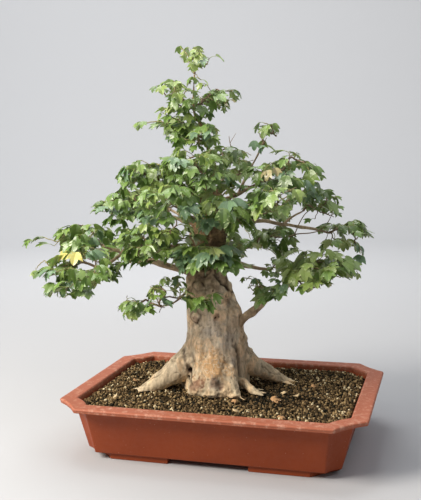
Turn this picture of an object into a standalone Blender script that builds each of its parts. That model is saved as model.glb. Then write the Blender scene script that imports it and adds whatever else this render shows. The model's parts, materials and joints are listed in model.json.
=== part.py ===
"""Trident maple bonsai in a long cut-corner pot.

Metres, +Z up, +X along the pot. Everything is first laid out about the middle of the pot's foot,
and the last step moves it so that the origin is under the middle of the whole plant's box.
The tree's own places are written as (right, away, up) from its foot: right and away as seen from
its front, which is turned a little from the pot's long wall, and up from the ground in the pot.
"""
import math
import random

import bpy
import bmesh
from mathutils import Vector, noise
from mathutils.bvhtree import BVHTree
from mathutils.geometry import delaunay_2d_cdt

CLEAR = 0.0003  # gap between pieces that touch on the real tree
FATTER = 1.15  # a flat-sided tube is thinner than its radius, so a cutter is this much fatter
UP = Vector((0.0, 0.0, 1.0))

# Pot: sizes of the rim's outline, and how far in from it the other outlines lie
POT_LENGTH = 0.460
POT_WIDTH = 0.346
POT_HEIGHT = 0.0877
CUT_X = 0.042
CUT_Y = 0.044
COVE = 0.003
RIM_DEPTH = 0.0075
RIM_WIDTH = 0.0247
BODY_INSET_TOP = 0.0200
BODY_INSET_FOOT = 0.0385
WALL = 0.006
FOOT_HEIGHT = 0.0094
FOOT_INSET = 0.005
FOOT_WIDTH = 0.018
FOOT_ALONG_FRONT = 0.089
FOOT_ALONG_SIDE = 0.055
RIM_EASE = 0.001
LIP_UNDERCUT = 0.0005
DRAIN_RADIUS = 0.011
DRAIN_PLACE = 0.090

# Soil: its top is the ground that the trunk is cut at, and dips in shallow hollows away from the tree
GROUND = 0.0805
SOIL_EDGE_DROP = 0.002
SOIL_SHOULDER = 0.015
HOLLOW_STEP = 0.027
HOLLOW_DEPTH = 0.0036
HOLLOW_SIZE = 0.050
HOLLOW_CLEAR = 0.010  # how far from the trunk and its roots the hollows start

# The tree's foot in the pot, and how far its front is turned from the pot's
FOOT_X = -0.0272
FOOT_Y = 0.0151
FRONT_TURN = math.radians(15.9)

# Trunk: height, right, away, half width. Its front-to-back depth is a little less.
TRUNK_SIDES = 22
TRUNK_DEPTH = 0.93
TRUNK = (
    (-0.012, 0.000, 0.002, 0.0560),
    (0.018, 0.000, 0.002, 0.0530),
    (0.041, 0.001, 0.001, 0.0510),
    (0.060, 0.002, 0.000, 0.0510),
    (0.076, 0.001, 0.000, 0.0478),
    (0.092, 0.000, 0.000, 0.0443),
    (0.122, -0.001, 0.001, 0.0430),
    (0.154, -0.008, 0.002, 0.0358),
    (0.187, -0.011, 0.003, 0.0307),
    (0.234, -0.008, 0.002, 0.0296),
    (0.262, -0.002, 0.001, 0.0290),
    (0.284, 0.001, 0.001, 0.0240),
    (0.300, 0.001, 0.002, 0.0175),
    (0.316, -0.003, 0.003, 0.0100),
)
LEADER_SIDES = 8
LEADER = (
    (0.296, 0.000, 0.002, 0.0110),
    (0.318, -0.004, 0.003, 0.0082),
    (0.345, -0.005, 0.003, 0.0048),
    (0.374, -0.005, 0.001, 0.0037),
    (0.404, -0.012, -0.002, 0.0032),
    (0.428, -0.025, -0.003, 0.0027),
    (0.455, -0.027, -0.001, 0.0022),
    (0.490, -0.025, 0.001, 0.0018),
)

# Surface roots: tip right, tip away, height where it leaves the trunk, thickness there and at the tip
ROOT_SIDES = 8
ROOT_STEPS = 6
ROOTS = (
    (-0.121, -0.026, 0.066, 0.0360, 0.0070),
    (-0.030, -0.052, 0.072, 0.0340, 0.0150),
    (0.000, -0.058, 0.088, 0.0450, 0.0210),
    (0.031, -0.070, 0.095, 0.0320, 0.0085),
    (0.074, -0.062, 0.045, 0.0130, 0.0032),
    (0.127, 0.018, 0.066, 0.0320, 0.0035),
    (0.068, 0.074, 0.070, 0.0320, 0.0060),
    (-0.014, 0.090, 0.078, 0.0380, 0.0070),
    (-0.090, 0.054, 0.070, 0.0340, 0.0055),
)
ROOT_START = 0.05
ROOT_DROP = 1.2
ROOT_TAPER = 1.2
ROOT_SUNK = 0.003

# Foliage masses and the limbs that bear them. Each row: the mass's name, what bears its limb, the
# height up the trunk or the share along that limb where its own limb leaves, the mass's centre
# (right, away, up), its half width, the limb's half thickness and how far its middle is lifted.
# A limb of no thickness means that the mass grows from the trunk itself.
MASSES = (
    ("low_right", "trunk", 0.060, (0.159, -0.050, 0.195), 0.060, 0.0085, 0.014),
    ("elbow_right", "low_right", 0.50, (0.067, 0.014, 0.156), 0.036, 0.0022, 0.000),
    ("inner_right", "trunk", 0.222, (0.113, -0.010, 0.190), 0.042, 0.0052, -0.014),
    ("tip_right", "trunk", 0.266, (0.209, 0.026, 0.233), 0.052, 0.0042, 0.008),
    ("shoulder_right", "tip_right", 0.62, (0.168, 0.010, 0.290), 0.052, 0.0024, 0.002),
    ("mid_right", "trunk", 0.200, (0.096, 0.066, 0.224), 0.052, 0.0038, 0.000),
    ("crown_right", "trunk", 0.285, (0.109, -0.020, 0.336), 0.060, 0.0042, 0.004),
    ("spire_right", "crown_right", 0.50, (0.086, 0.004, 0.396), 0.036, 0.0022, 0.000),
    ("outer_left", "trunk", 0.178, (-0.204, 0.014, 0.236), 0.053, 0.0065, -0.003),
    ("low_left", "outer_left", 0.80, (-0.203, -0.052, 0.189), 0.062, 0.0030, -0.004),
    ("shoulder_left", "trunk", 0.255, (-0.145, 0.034, 0.286), 0.058, 0.0044, 0.000),
    ("crown_left", "trunk", 0.288, (-0.096, -0.014, 0.337), 0.060, 0.0042, 0.003),
    ("mid_left", "trunk", 0.212, (-0.088, -0.058, 0.239), 0.060, 0.0036, 0.000),
    ("sprig_left", "trunk", 0.204, (-0.102, -0.072, 0.153), 0.053, 0.0024, -0.034),
    ("back_low", "trunk", 0.185, (0.026, 0.152, 0.214), 0.060, 0.0052, 0.000),
    ("back_low_left", "trunk", 0.195, (-0.140, 0.116, 0.212), 0.058, 0.0046, 0.003),
    ("back_left", "trunk", 0.240, (-0.094, 0.126, 0.286), 0.062, 0.0046, 0.002),
    ("back_right", "trunk", 0.235, (0.108, 0.124, 0.277), 0.064, 0.0046, 0.002),
    ("crown_back", "trunk", 0.292, (0.030, 0.088, 0.347), 0.062, 0.0040, 0.004),
    ("front_left", "trunk", 0.250, (-0.062, -0.112, 0.300), 0.053, 0.0036, 0.003),
    ("front_right", "trunk", 0.268, (0.088, -0.098, 0.300), 0.052, 0.0036, 0.003),
    ("crown_front", "trunk", 0.298, (-0.022, -0.080, 0.351), 0.058, 0.0036, 0.004),
    ("breast", "trunk", 0.262, (0.021, -0.092, 0.284), 0.051, 0.0026, 0.000),
    ("throat", "trunk", 0.195, (-0.004, -0.084, 0.214), 0.047, 0.0026, 0.000),
    ("apex", "trunk", 0.490, (-0.021, 0.000, 0.511), 0.045, 0.0, 0.0),
    ("top_left", "trunk", 0.436, (-0.057, -0.012, 0.460), 0.046, 0.0, 0.0),
    ("top_right", "trunk", 0.442, (0.009, 0.014, 0.454), 0.046, 0.0, 0.0),
    ("neck_left", "trunk", 0.392, (-0.052, 0.016, 0.406), 0.050, 0.0018, 0.0),
    ("neck_right", "trunk", 0.392, (-0.003, -0.032, 0.398), 0.040, 0.0, 0.0),
    ("trunk_sprout", "trunk", 0.136, (-0.017, -0.066, 0.150), 0.022, 0.0, 0.0),
)
# Shoots that reach out of a mass to the crown's furthest tips
REACH = {
    "apex": (-0.002, 0.000, 0.513),
    "top_left": (-0.080, -0.012, 0.472),
    "top_right": (0.036, 0.010, 0.463),
    "neck_left": (-0.100, 0.010, 0.417),
    "outer_left": (-0.266, 0.012, 0.240),
    "low_left": (-0.244, -0.052, 0.190),
    "tip_right": (0.237, 0.030, 0.238),
    "low_right": (0.198, -0.060, 0.172),
    "sprig_left": (-0.130, -0.074, 0.148),
    "spire_right": (0.092, 0.000, 0.410),
    "crown_left": (-0.128, -0.014, 0.320),
    "crown_right": (0.154, -0.020, 0.322),
}

# Limbs: each ends at ENTRY, a share of its mass's half width from the centre
ENTRY = 0.62
LIMB_SIDES = 6
LIMB_STEPS = 4
LIMB_TAPER = 0.42
ROUTE_STEPS = 60
ROUTE_FIRST = 10

# Each mass's space: a flattened ball, cut by planes where it meets the next
FLATTENING = 0.76
CELL_MARGIN = 0.0006
OUTLINE_SLACK = 1.12
SEED = 1953
UNION_TRIES = 24

# Twigs
LEAVES_PER_AREA = 5700
LEAVES_PER_TIP = 3.6
TIP_DEPTH = 0.80  # how far inside the mass's outline a twig ends, in leaf lengths
TIP_CORE = 0.30
TIP_TRIES = 60
TIP_LOWEST = -0.70
TIP_INNER = 0.35
TIP_MARGIN = 0.004
TURN_COST = 0.5
BEND = 0.45
TWIG_THIN = 0.0010
TWIG_PIPE = 0.42
TWIG_CLEAR = 0.0006
TWIG_ROOM = 1.6
STEM_RUN = 0.008
STEM_THICK = 0.0025
SEAT_STEP = 0.00005
SEAT_STEPS = 2000
TIP_NEAR = 0.03  # a mass whose centre is this near the leader's tip grows straight on from it

# Leaves: a twig's end bears a whorl of three, and a little way behind it a pair.
# Each row: the side of the twig, the swing away from straight out and the droop, in radians.
LEAF_LENGTH = 0.037
LEAF_ROOT = 0.0016  # length of twig that a leaf grows out of
LEAF_TRIES = 8
PAIR_STEP = 0.0095
WHORL = ((2, 0.0, 0.40), (0, -1.35, 0.60), (1, 1.35, 0.60))
PAIR = ((0, -1.15, 0.65), (1, 1.15, 0.65))
SWING_PLAY = 0.35
DROOP_PLAY = 0.45
TILT_PLAY = 0.35
LENGTH_PLAY = (0.82, 1.08)
LEAST_OUT = 0.2  # how far a leaf has to lean away from the side that it grows out of

# Half of a three-lobed leaf's outline, as shares of its length: side lobe, then the notch
LOBE = (0.43, 0.74)
NOTCH = (0.17, 0.60)
LOBE_SINK = 0.10


def start_empty():
    for old in list(bpy.data.objects):
        bpy.data.objects.remove(old, do_unlink=True)


def material(name, colour, roughness):
    made = bpy.data.materials.new(name)
    made.use_nodes = True
    shader = made.node_tree.nodes["Principled BSDF"]
    shader.inputs["Base Color"].default_value = (*colour, 1.0)
    shader.inputs["Roughness"].default_value = roughness
    shader.inputs["Metallic"].default_value = 0.0
    return made


def solid(name, points, faces):
    mesh = bpy.data.meshes.new(name)
    mesh.from_pydata([tuple(p) for p in points], [], faces)
    shape = bmesh.new()
    shape.from_mesh(mesh)
    bmesh.ops.recalc_face_normals(shape, faces=shape.faces)
    if shape.calc_volume(signed=True) < 0:
        bmesh.ops.reverse_faces(shape, faces=shape.faces)
    shape.to_mesh(mesh)
    shape.free()
    made = bpy.data.objects.new(name, mesh)
    bpy.context.scene.collection.objects.link(made)
    return made


def lofted(name, rings):
    """A closed body through rings of equal length, with flat ends."""
    count = len(rings[0])
    points = [p for ring in rings for p in ring]
    faces = [tuple(range(count)), tuple(range(len(points) - count, len(points)))]
    for row in range(len(rings) - 1):
        low = row * count
        for i in range(count):
            j = (i + 1) % count
            faces.append((low + i, low + j, low + count + j, low + count + i))
    return solid(name, points, faces)


def apply_boolean(target, others, operation, solver):
    """Joins or cuts the target with the other solids in one Boolean, and removes them."""
    if not others:
        return target
    group = bpy.data.collections.new("others")
    bpy.context.scene.collection.children.link(group)
    for other in others:
        group.objects.link(other)
    modifier = target.modifiers.new("boolean", "BOOLEAN")
    modifier.operand_type = "COLLECTION"
    modifier.collection = group
    modifier.operation = operation
    modifier.solver = solver
    bpy.context.view_layer.update()
    evaluated = target.evaluated_get(bpy.context.evaluated_depsgraph_get())
    mesh = bpy.data.meshes.new_from_object(evaluated)
    target.modifiers.clear()
    target.data = mesh
    for other in others:
        bpy.data.objects.remove(other, do_unlink=True)
    bpy.data.collections.remove(group)
    return target


def keep_largest(target):
    """Drops every loose scrap but the main body, and returns how many there were."""
    shape = bmesh.new()
    shape.from_mesh(target.data)
    bmesh.ops.remove_doubles(shape, verts=shape.verts, dist=1e-7)
    left = set(shape.verts)
    groups = []
    while left:
        todo = [left.pop()]
        group = set(todo)
        while todo:
            for edge in todo.pop().link_edges:
                for v in edge.verts:
                    if v in left:
                        left.remove(v)
                        group.add(v)
                        todo.append(v)
        groups.append(group)
    groups.sort(key=len)
    scraps = [v for group in groups[:-1] for v in group]
    bmesh.ops.delete(shape, geom=scraps, context="VERTS")
    shape.to_mesh(target.data)
    shape.free()
    return len(groups) - 1


def tree_place(right, away, up):
    """A place by the tree's own directions, as a point about the pot's middle."""
    cos, sin = math.cos(FRONT_TURN), math.sin(FRONT_TURN)
    return Vector((FOOT_X + right * cos - away * sin, FOOT_Y + right * sin + away * cos, GROUND + up))


def between(p, q, r, s, t):
    """A number between q and r on the smooth curve through all four."""
    bend = 2 * p - 5 * q + 4 * r - s
    return 0.5 * (2 * q + (r - p) * t + bend * t**2 + (3 * q - p - 3 * r + s) * t**3)


def smooth_rows(rows, steps):
    """Rows of numbers joined by a smooth curve, with some steps to each stretch."""
    out = []
    for i in range(len(rows) - 1):
        before = rows[max(i - 1, 0)]
        a, b = rows[i], rows[i + 1]
        after = rows[min(i + 2, len(rows) - 1)]
        for k in range(steps):
            t = k / steps
            out.append(tuple(between(*four, t) for four in zip(before, a, b, after)))
    out.append(rows[-1])
    return out


def tube_rings(path, radii, sides, twist=0.0):
    """Rings of points square to a path, each turned as little as possible from the last."""
    rings = []
    side = None
    for i, point in enumerate(path):
        along = (path[min(i + 1, len(path) - 1)] - path[max(i - 1, 0)]).normalized()
        if side is None:
            side = along.cross(UP) if abs(along.dot(UP)) < 0.95 else along.cross(Vector((1, 0, 0)))
        side = (side - along * side.dot(along)).normalized()
        other = along.cross(side)
        ring = []
        for k in range(sides):
            angle = 2 * math.pi * k / sides + twist
            ring.append(point + (side * math.cos(angle) + other * math.sin(angle)) * radii[i])
        rings.append(ring)
    return rings


def tube(name, path, radii, sides):
    return lofted(name, tube_rings(path, radii, sides))


def arch(start, goal, lift, share):
    """A point on the curve from start to goal whose middle is lifted."""
    middle = (start + goal) / 2 + UP * 2 * lift
    near = start.lerp(middle, share)
    far = middle.lerp(goal, share)
    return near.lerp(far, share)


# Pot and soil


def cut_corner_outline(inset, height):
    """The pot's outline with its corners cut off in a shallow cove, moved in by an inset."""
    half_x = POT_LENGTH / 2 - inset
    half_y = POT_WIDTH / 2 - inset
    shorter = inset * (2 - math.sqrt(2))
    cut_x = CUT_X - shorter
    cut_y = CUT_Y - shorter
    outline = []
    for sign_x, sign_y in ((1, -1), (1, 1), (-1, 1), (-1, -1)):
        first = Vector((sign_x * (half_x - cut_x), sign_y * half_y, height))
        last = Vector((sign_x * half_x, sign_y * (half_y - cut_y), height))
        inward = Vector((-sign_x, -sign_y, 0)).normalized()
        corner = [first.lerp(last, t) + inward * COVE * 4 * t * (1 - t) for t in (0, 0.25, 0.5, 0.75, 1)]
        outline += corner if sign_x * sign_y < 0 else corner[::-1]
    return outline


def pot_foot(sign_x, sign_y):
    """One foot: a strip that follows the underside round a cut corner."""
    half_x = POT_LENGTH / 2 - BODY_INSET_FOOT - FOOT_INSET
    half_y = POT_WIDTH / 2 - BODY_INSET_FOOT - FOOT_INSET
    cut = CUT_X - FOOT_INSET
    shrink = FOOT_WIDTH * math.tan(math.pi / 8)
    start_x = half_x - cut - FOOT_ALONG_FRONT
    end_y = half_y - cut - FOOT_ALONG_SIDE
    outline = (
        (start_x, half_y), (half_x - cut, half_y), (half_x, half_y - cut), (half_x, end_y),
        (half_x - FOOT_WIDTH, end_y), (half_x - FOOT_WIDTH, half_y - cut - shrink),
        (half_x - cut - shrink, half_y - FOOT_WIDTH), (start_x, half_y - FOOT_WIDTH))
    top = FOOT_HEIGHT + WALL / 2
    rings = [[Vector((sign_x * x, sign_y * y, z)) for x, y in outline] for z in (0.0, top)]
    return lofted("foot", rings)


def make_pot():
    floor_top = FOOT_HEIGHT + WALL
    profile = (
        (BODY_INSET_FOOT, FOOT_HEIGHT),
        (BODY_INSET_TOP, POT_HEIGHT - RIM_DEPTH),
        (0.0, POT_HEIGHT - RIM_DEPTH + LIP_UNDERCUT),
        (0.0, POT_HEIGHT - RIM_EASE),
        (RIM_EASE, POT_HEIGHT),
        (RIM_WIDTH, POT_HEIGHT),
        (BODY_INSET_TOP + WALL, POT_HEIGHT - RIM_DEPTH),
        (BODY_INSET_FOOT + WALL, floor_top),
    )
    pot = lofted("pot", [cut_corner_outline(inset, z) for inset, z in profile])
    feet = [pot_foot(sx, sy) for sx in (-1, 1) for sy in (-1, 1)]
    apply_boolean(pot, feet, "UNION", "EXACT")
    drains = []
    for place in (-DRAIN_PLACE, DRAIN_PLACE):
        ends = [Vector((place, 0, 0)), Vector((place, 0, floor_top + 0.01))]
        drains.append(tube("drain", ends, [DRAIN_RADIUS] * 2, 16))
    return apply_boolean(pot, drains, "DIFFERENCE", "EXACT")


def hollow(place, trunk_bvh):
    """How far the soil dips under the ground at a place."""
    if trunk_bvh.find_nearest(place)[3] < HOLLOW_CLEAR:
        return 0.0
    return HOLLOW_DEPTH * min(max(0.5 + noise.noise(place / HOLLOW_SIZE), 0.0), 1.0)


def make_soil(trunk_bvh):
    """Soil that fills the pot, its edge a little lower than the ground round the tree."""
    low = FOOT_HEIGHT + WALL + CLEAR
    slope = (BODY_INSET_FOOT - BODY_INSET_TOP) / (POT_HEIGHT - RIM_DEPTH - FOOT_HEIGHT)
    edge = GROUND - SOIL_EDGE_DROP
    at_low = BODY_INSET_FOOT + WALL + CLEAR * 4  # the coved corners twist the walls a little
    at_edge = BODY_INSET_TOP + WALL + slope * (POT_HEIGHT - RIM_DEPTH - edge) + CLEAR * 2
    top = GROUND - CLEAR
    inside = at_edge + SOIL_SHOULDER
    profile = ((at_low, low), (at_edge, edge), (inside, top))
    rings = [cut_corner_outline(inset, z) for inset, z in profile]
    count = len(rings[0])
    points = [p for ring in rings for p in ring]
    faces = [tuple(range(count))]
    for row in range(len(rings) - 1):
        for i in range(count):
            j = (i + 1) % count
            faces.append((row * count + i, row * count + j, (row + 1) * count + j, (row + 1) * count + i))
    half_x, half_y = POT_LENGTH / 2 - inside - HOLLOW_STEP / 2, POT_WIDTH / 2 - inside - HOLLOW_STEP / 2
    across, along = round(2 * half_x / HOLLOW_STEP), round(2 * half_y / HOLLOW_STEP)
    corner = half_x + half_y - (CUT_X + CUT_Y) / 2
    spots = [Vector((half_x * (2 * i / across - 1), half_y * (2 * j / along - 1), top))
             for i in range(across + 1) for j in range(along + 1)]
    spots = [p for p in spots if abs(p.x) + abs(p.y) < corner]
    flat = [p.to_2d() for p in rings[-1] + spots]
    rim = [(i, (i + 1) % count) for i in range(count)]
    made = delaunay_2d_cdt(flat, rim, [], 1, 1e-7)
    first = len(points) - count
    faces += [tuple(first + made[3][v][0] for v in face) for face in made[2]]
    points += [p - UP * hollow(p, trunk_bvh) for p in spots]
    return solid("soil", points, faces)


# Trunk and limbs


def trunk_axis(height):
    """The middle of the trunk or its leader at a height, about the pot's middle."""
    rows = smooth_rows(TRUNK[:-1] + LEADER[1:], 6)
    nearest = min(rows, key=lambda row: abs(row[0] - height))
    return tree_place(nearest[1], nearest[2], height)


def trunk_rings(extra):
    rings = []
    for up, right, away, half in smooth_rows(TRUNK, 2):
        ring = []
        for k in range(TRUNK_SIDES):
            angle = 2 * math.pi * k / TRUNK_SIDES
            flute = 1 + 0.025 * math.sin(3 * angle + 1.0 + up * 9) + 0.02 * math.sin(5 * angle + up * 14)
            reach = half * flute + extra
            across = right + reach * math.cos(angle)
            deep = away + reach * TRUNK_DEPTH * math.sin(angle)
            ring.append(tree_place(across, deep, up))
        rings.append(ring)
    return rings


def root_tube(row, extra):
    tip_right, tip_away, height, thick, thin = row
    path = []
    radii = []
    for k in range(ROOT_STEPS + 1):
        t = k / ROOT_STEPS
        out = ROOT_START + (1 - ROOT_START) * t
        drop = (1 - t) ** ROOT_DROP
        path.append(tree_place(tip_right * out, tip_away * out, height * drop - ROOT_SUNK))
        radii.append(thin + (thick - thin) * (1 - t) ** ROOT_TAPER + extra)
    return tube("root", path, radii, ROOT_SIDES)


def make_trunk(name, extra=0.0):
    """The stump, its thin leader and the surface roots as one body, cut flat at the ground.

    An extra thickness makes the same body a little fatter, to hold other pieces clear of it.
    """
    trunk = lofted(name, trunk_rings(extra))
    leader = smooth_rows(LEADER, 2)
    path = [tree_place(right, away, up) for up, right, away, _ in leader]
    radii = [half + extra for *_, half in leader]
    path[-1] = path[-1] + UP * extra
    others = [tube("leader", path, radii, LEADER_SIDES)]
    others += [root_tube(row, extra) for row in ROOTS]
    apply_boolean(trunk, others, "UNION", "MANIFOLD")
    wide, deep = POT_LENGTH, POT_WIDTH
    corners = ((-wide, -deep), (wide, -deep), (wide, deep), (-wide, deep))
    below = lofted("below", [[Vector((x, y, z)) for x, y in corners] for z in (0.0, GROUND)])
    return apply_boolean(trunk, [below], "DIFFERENCE", "MANIFOLD")


class Mass:
    """One mass of foliage: its own space, its limb and the place where its stem starts."""

    def __init__(self, row):
        self.name, self.parent, self.along, centre, self.half, self.thick, self.lift = row
        self.centre = tree_place(*centre)
        self.leaf = min(LEAF_LENGTH, self.half * 0.9)
        self.path = []
        self.seat = None
        self.heading = None

    def reach_share(self, point):
        """How far out a point is: 0 at the centre and 1 on the mass's outline."""
        off = point - self.centre
        return Vector((off.x, off.y, off.z / FLATTENING)).length / self.half

    def inside(self, point, masses, margin=CELL_MARGIN):
        """Whether a point is on this mass's side of the plane between it and every other mass."""
        own = (self.reach_share(point) ** 2 - 1) * self.half**2
        for other in masses:
            if other is self:
                continue
            theirs = (other.reach_share(point) ** 2 - 1) * other.half**2
            apart = other.centre - self.centre
            span = Vector((apart.x, apart.y, apart.z / FLATTENING)).length
            if (theirs - own) / (2 * span) < margin:
                return False
        return True


def limb_start(mass, by_name):
    if mass.parent == "trunk":
        return trunk_axis(mass.along)
    path = by_name[mass.parent].path
    place = mass.along * (len(path) - 1)
    low = min(int(place), len(path) - 2)
    return path[low].lerp(path[low + 1], place - low)


def route_limb(mass, by_name, masses):
    """The limb's path: a curve towards the mass's centre that ends where it enters the mass."""
    start = limb_start(mass, by_name)
    end = 1.0
    for k in range(ROUTE_FIRST, ROUTE_STEPS + 1):
        point = arch(start, mass.centre, mass.lift, k / ROUTE_STEPS)
        if mass.reach_share(point) < ENTRY and mass.inside(point, masses):
            end = k / ROUTE_STEPS
            break
    mass.path = [arch(start, mass.centre, mass.lift, end * k / LIMB_STEPS) for k in range(LIMB_STEPS + 1)]
    mass.heading = (mass.path[-1] - mass.path[-2]).normalized()
    mass.seat = mass.path[-1] + mass.heading * CLEAR


def limb_tube(mass, extra=0.0):
    thin = mass.thick * LIMB_TAPER
    radii = [mass.thick + (thin - mass.thick) * k / LIMB_STEPS + extra for k in range(LIMB_STEPS + 1)]
    path = list(mass.path)
    path[-1] = path[-1] + mass.heading * extra
    return tube("bough_" + mass.name, path, radii, LIMB_SIDES)


def tree_of(made):
    shape = bmesh.new()
    shape.from_mesh(made.data)
    found = BVHTree.FromBMesh(shape)
    shape.free()
    return found


def seat_on_trunk(mass, trunk_bvh):
    """Walks out from the trunk's middle towards the mass until the stem's end is clear of the bark."""
    start = trunk_axis(mass.along)
    ahead = mass.centre - start
    if ahead.length < TIP_NEAR and ahead.z > 0:
        ahead = UP.copy()
    mass.heading = ahead.normalized()
    for step in range(SEAT_STEPS):
        point = start + mass.heading * step * SEAT_STEP
        ring = tube_rings([point, point + mass.heading], [STEM_THICK] * 2, 3)[0]
        clear = True
        for corner in ring + [ring[i].lerp(ring[i - 1], 0.5) for i in range(3)]:
            near, normal, _, gap = trunk_bvh.find_nearest(corner)
            clear = clear and gap > CLEAR and (corner - near).dot(normal) > 0
        if clear:
            break
    mass.seat = point


# Foliage


def spread_tips(mass, masses, count, rng):
    """Twig ends spread through the mass, each the furthest of some tries from those before it."""
    core = max(mass.half - mass.leaf * TIP_DEPTH, mass.half * TIP_CORE)
    tips = []
    for _ in range(count):
        best, best_gap = None, -1.0
        for _ in range(TIP_TRIES):
            turn = rng.uniform(0, 2 * math.pi)
            rise = rng.uniform(TIP_LOWEST, 1.0)
            out = rng.uniform(TIP_INNER, 1.0) ** 0.5
            level = math.sqrt(1 - rise * rise)
            offset = Vector((level * math.cos(turn), level * math.sin(turn), rise * FLATTENING)) * core * out
            point = mass.centre + offset
            if not mass.inside(point, masses, TIP_MARGIN):
                continue
            gap = min([(point - other).length for other in tips] + [1.0])
            if gap > best_gap:
                best, best_gap = point, gap
        if best is not None:
            tips.append(best)
    return tips


class Twigs:
    """Twigs that branch from one stem: each end is reached from the nearest twig, at an easy turn."""

    def __init__(self, seat, heading):
        self.points = [seat]
        self.headings = [heading]
        self.before = [None]
        self.load = [0]
        self.chains = []

    def nearest(self, tip):
        def cost(i):
            off = tip - self.points[i]
            return off.length + TURN_COST * (off.length - off.dot(self.headings[i]))
        return min(range(1, len(self.points)), key=cost)

    def curve(self, start, tip):
        """The middle and the end of a twig that leaves the way its parent points."""
        base = self.points[start]
        bend = base + self.headings[start] * (tip - base).length * BEND
        return [base.lerp(bend, 0.5).lerp(bend.lerp(tip, 0.5), 0.5), tip]

    def add(self, start, ends):
        last = start
        chain = [start]
        for point in ends:
            self.points.append(point)
            self.headings.append((point - self.points[last]).normalized())
            self.before.append(last)
            self.load.append(0)
            last = len(self.points) - 1
            chain.append(last)
        self.chains.append(chain)
        while last is not None:
            self.load[last] += 1
            last = self.before[last]
        return chain

    def thickness(self, i):
        return TWIG_THIN * max(self.load[i], 1) ** TWIG_PIPE


def twig_faces(rows):
    """Side quads of a three-sided twig, by the row and the side that each lies on."""
    quads = {}
    for row in range(rows - 1):
        for side in range(3):
            low, high = row * 3, row * 3 + 3
            after = (side + 1) % 3
            quads[row, side] = (low + side, low + after, high + after, high + side)
    return quads


def clear_of(points, faces, mass, masses, limbs):
    """Whether some faces keep to their mass's space and touch no limb."""
    if not all(mass.inside(p, masses) for p in points):
        return False
    shape = BVHTree.FromPolygons([tuple(p) for p in points], faces)
    return not any(limb.overlap(shape) for limb in limbs)


def leaf_blade(root, way, tilt, length):
    """Where a leaf's side direction and its five outline points lie, from its root."""
    side = way.cross(tilt).normalized()
    face = side.cross(way).normalized()
    outline = []
    for across, ahead, sink in ((-LOBE[0], LOBE[1], LOBE_SINK), (-NOTCH[0], NOTCH[1], 0.0), (0, 1, LOBE_SINK),
                                (NOTCH[0], NOTCH[1], 0.0), (LOBE[0], LOBE[1], LOBE_SINK)):
        outline.append(root + (side * across + way * ahead - face * sink) * length)
    return side, outline


def leaf_faces(corners, side, points, first):
    """A leaf that grows out of a quad of the twig: its faces, by the numbers of their points."""
    def leftness(k):
        return -(points[corners[k]] + points[corners[(k + 1) % 4]]).dot(side)
    k = max(range(4), key=leftness)
    low_left, top_left, top_right, low_right = (corners[(k + i) % 4] for i in range(4))
    left, left_notch, tip, right_notch, right = range(first, first + 5)
    return [
        (low_left, top_left, left), (top_right, low_right, right),
        (top_left, top_right, tip), (top_right, right, right_notch), (top_right, right_notch, tip),
        (top_left, tip, left_notch), (top_left, left_notch, left),
        (low_right, low_left, tip), (low_left, left, left_notch), (low_left, left_notch, tip),
        (low_right, tip, right_notch), (low_right, right_notch, right)]


def crossing(points, first, second):
    """Whether faces of one list cross faces of another that they share no point with."""
    corners = [tuple(p) for p in points]
    pairs = BVHTree.FromPolygons(corners, first).overlap(BVHTree.FromPolygons(corners, second))
    return any(not set(first[i]) & set(second[j]) for i, j in pairs)


def leaf_heading(turn, swing, droop, outside, rng):
    """A leaf's direction: out and down, and away from the side of the twig that bears it."""
    angle = turn + swing + rng.uniform(-SWING_PLAY, SWING_PLAY)
    dip = droop + rng.uniform(-DROOP_PLAY, DROOP_PLAY)
    way = Vector((math.cos(angle) * math.cos(dip), math.sin(angle) * math.cos(dip), -math.sin(dip)))
    short = LEAST_OUT - way.dot(outside)
    return (way + outside * max(short, 0.0)).normalized()


class Spray:
    """A twig whose end bears a whorl of three leaves, with a pair a little way behind it."""

    def __init__(self, path, radii, bare):
        run = path[-1] - path[-2]
        self.ahead = run.normalized()
        self.tip = path[-1]
        stops = [LEAF_ROOT, 0.0]
        self.places = [(len(path) - 1, row) for row in WHORL]
        if run.length > PAIR_STEP + LEAF_ROOT * 2 and not bare:
            stops = [PAIR_STEP + LEAF_ROOT, PAIR_STEP, LEAF_ROOT, 0.0]
            self.places = [(len(path) + 1, row) for row in WHORL] + [(len(path) - 1, row) for row in PAIR]
        self.path = path[:-1] + [self.tip - self.ahead * stop for stop in stops]
        radii = radii[:-1] + [radii[-1]] * len(stops)
        rings = tube_rings(self.path, radii, 3, -math.pi / 6)
        self.points = [point for ring in rings for point in ring]
        self.quads = twig_faces(len(self.path))
        self.faces = [(0, 1, 2), tuple(range(len(self.points) - 3, len(self.points)))]

    def all_faces(self):
        return self.faces + list(self.quads.values())

    def add_leaf(self, place, across, outline):
        """Grows a leaf out of one side quad, unless it would cross the spray's other faces."""
        points = self.points + outline
        made = leaf_faces(self.quads[place], across, points, len(self.points))
        rest = [quad for other, quad in self.quads.items() if other != place]
        if crossing(points, self.faces + rest, made):
            return False
        self.points = points
        self.faces += made
        del self.quads[place]
        return True


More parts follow.
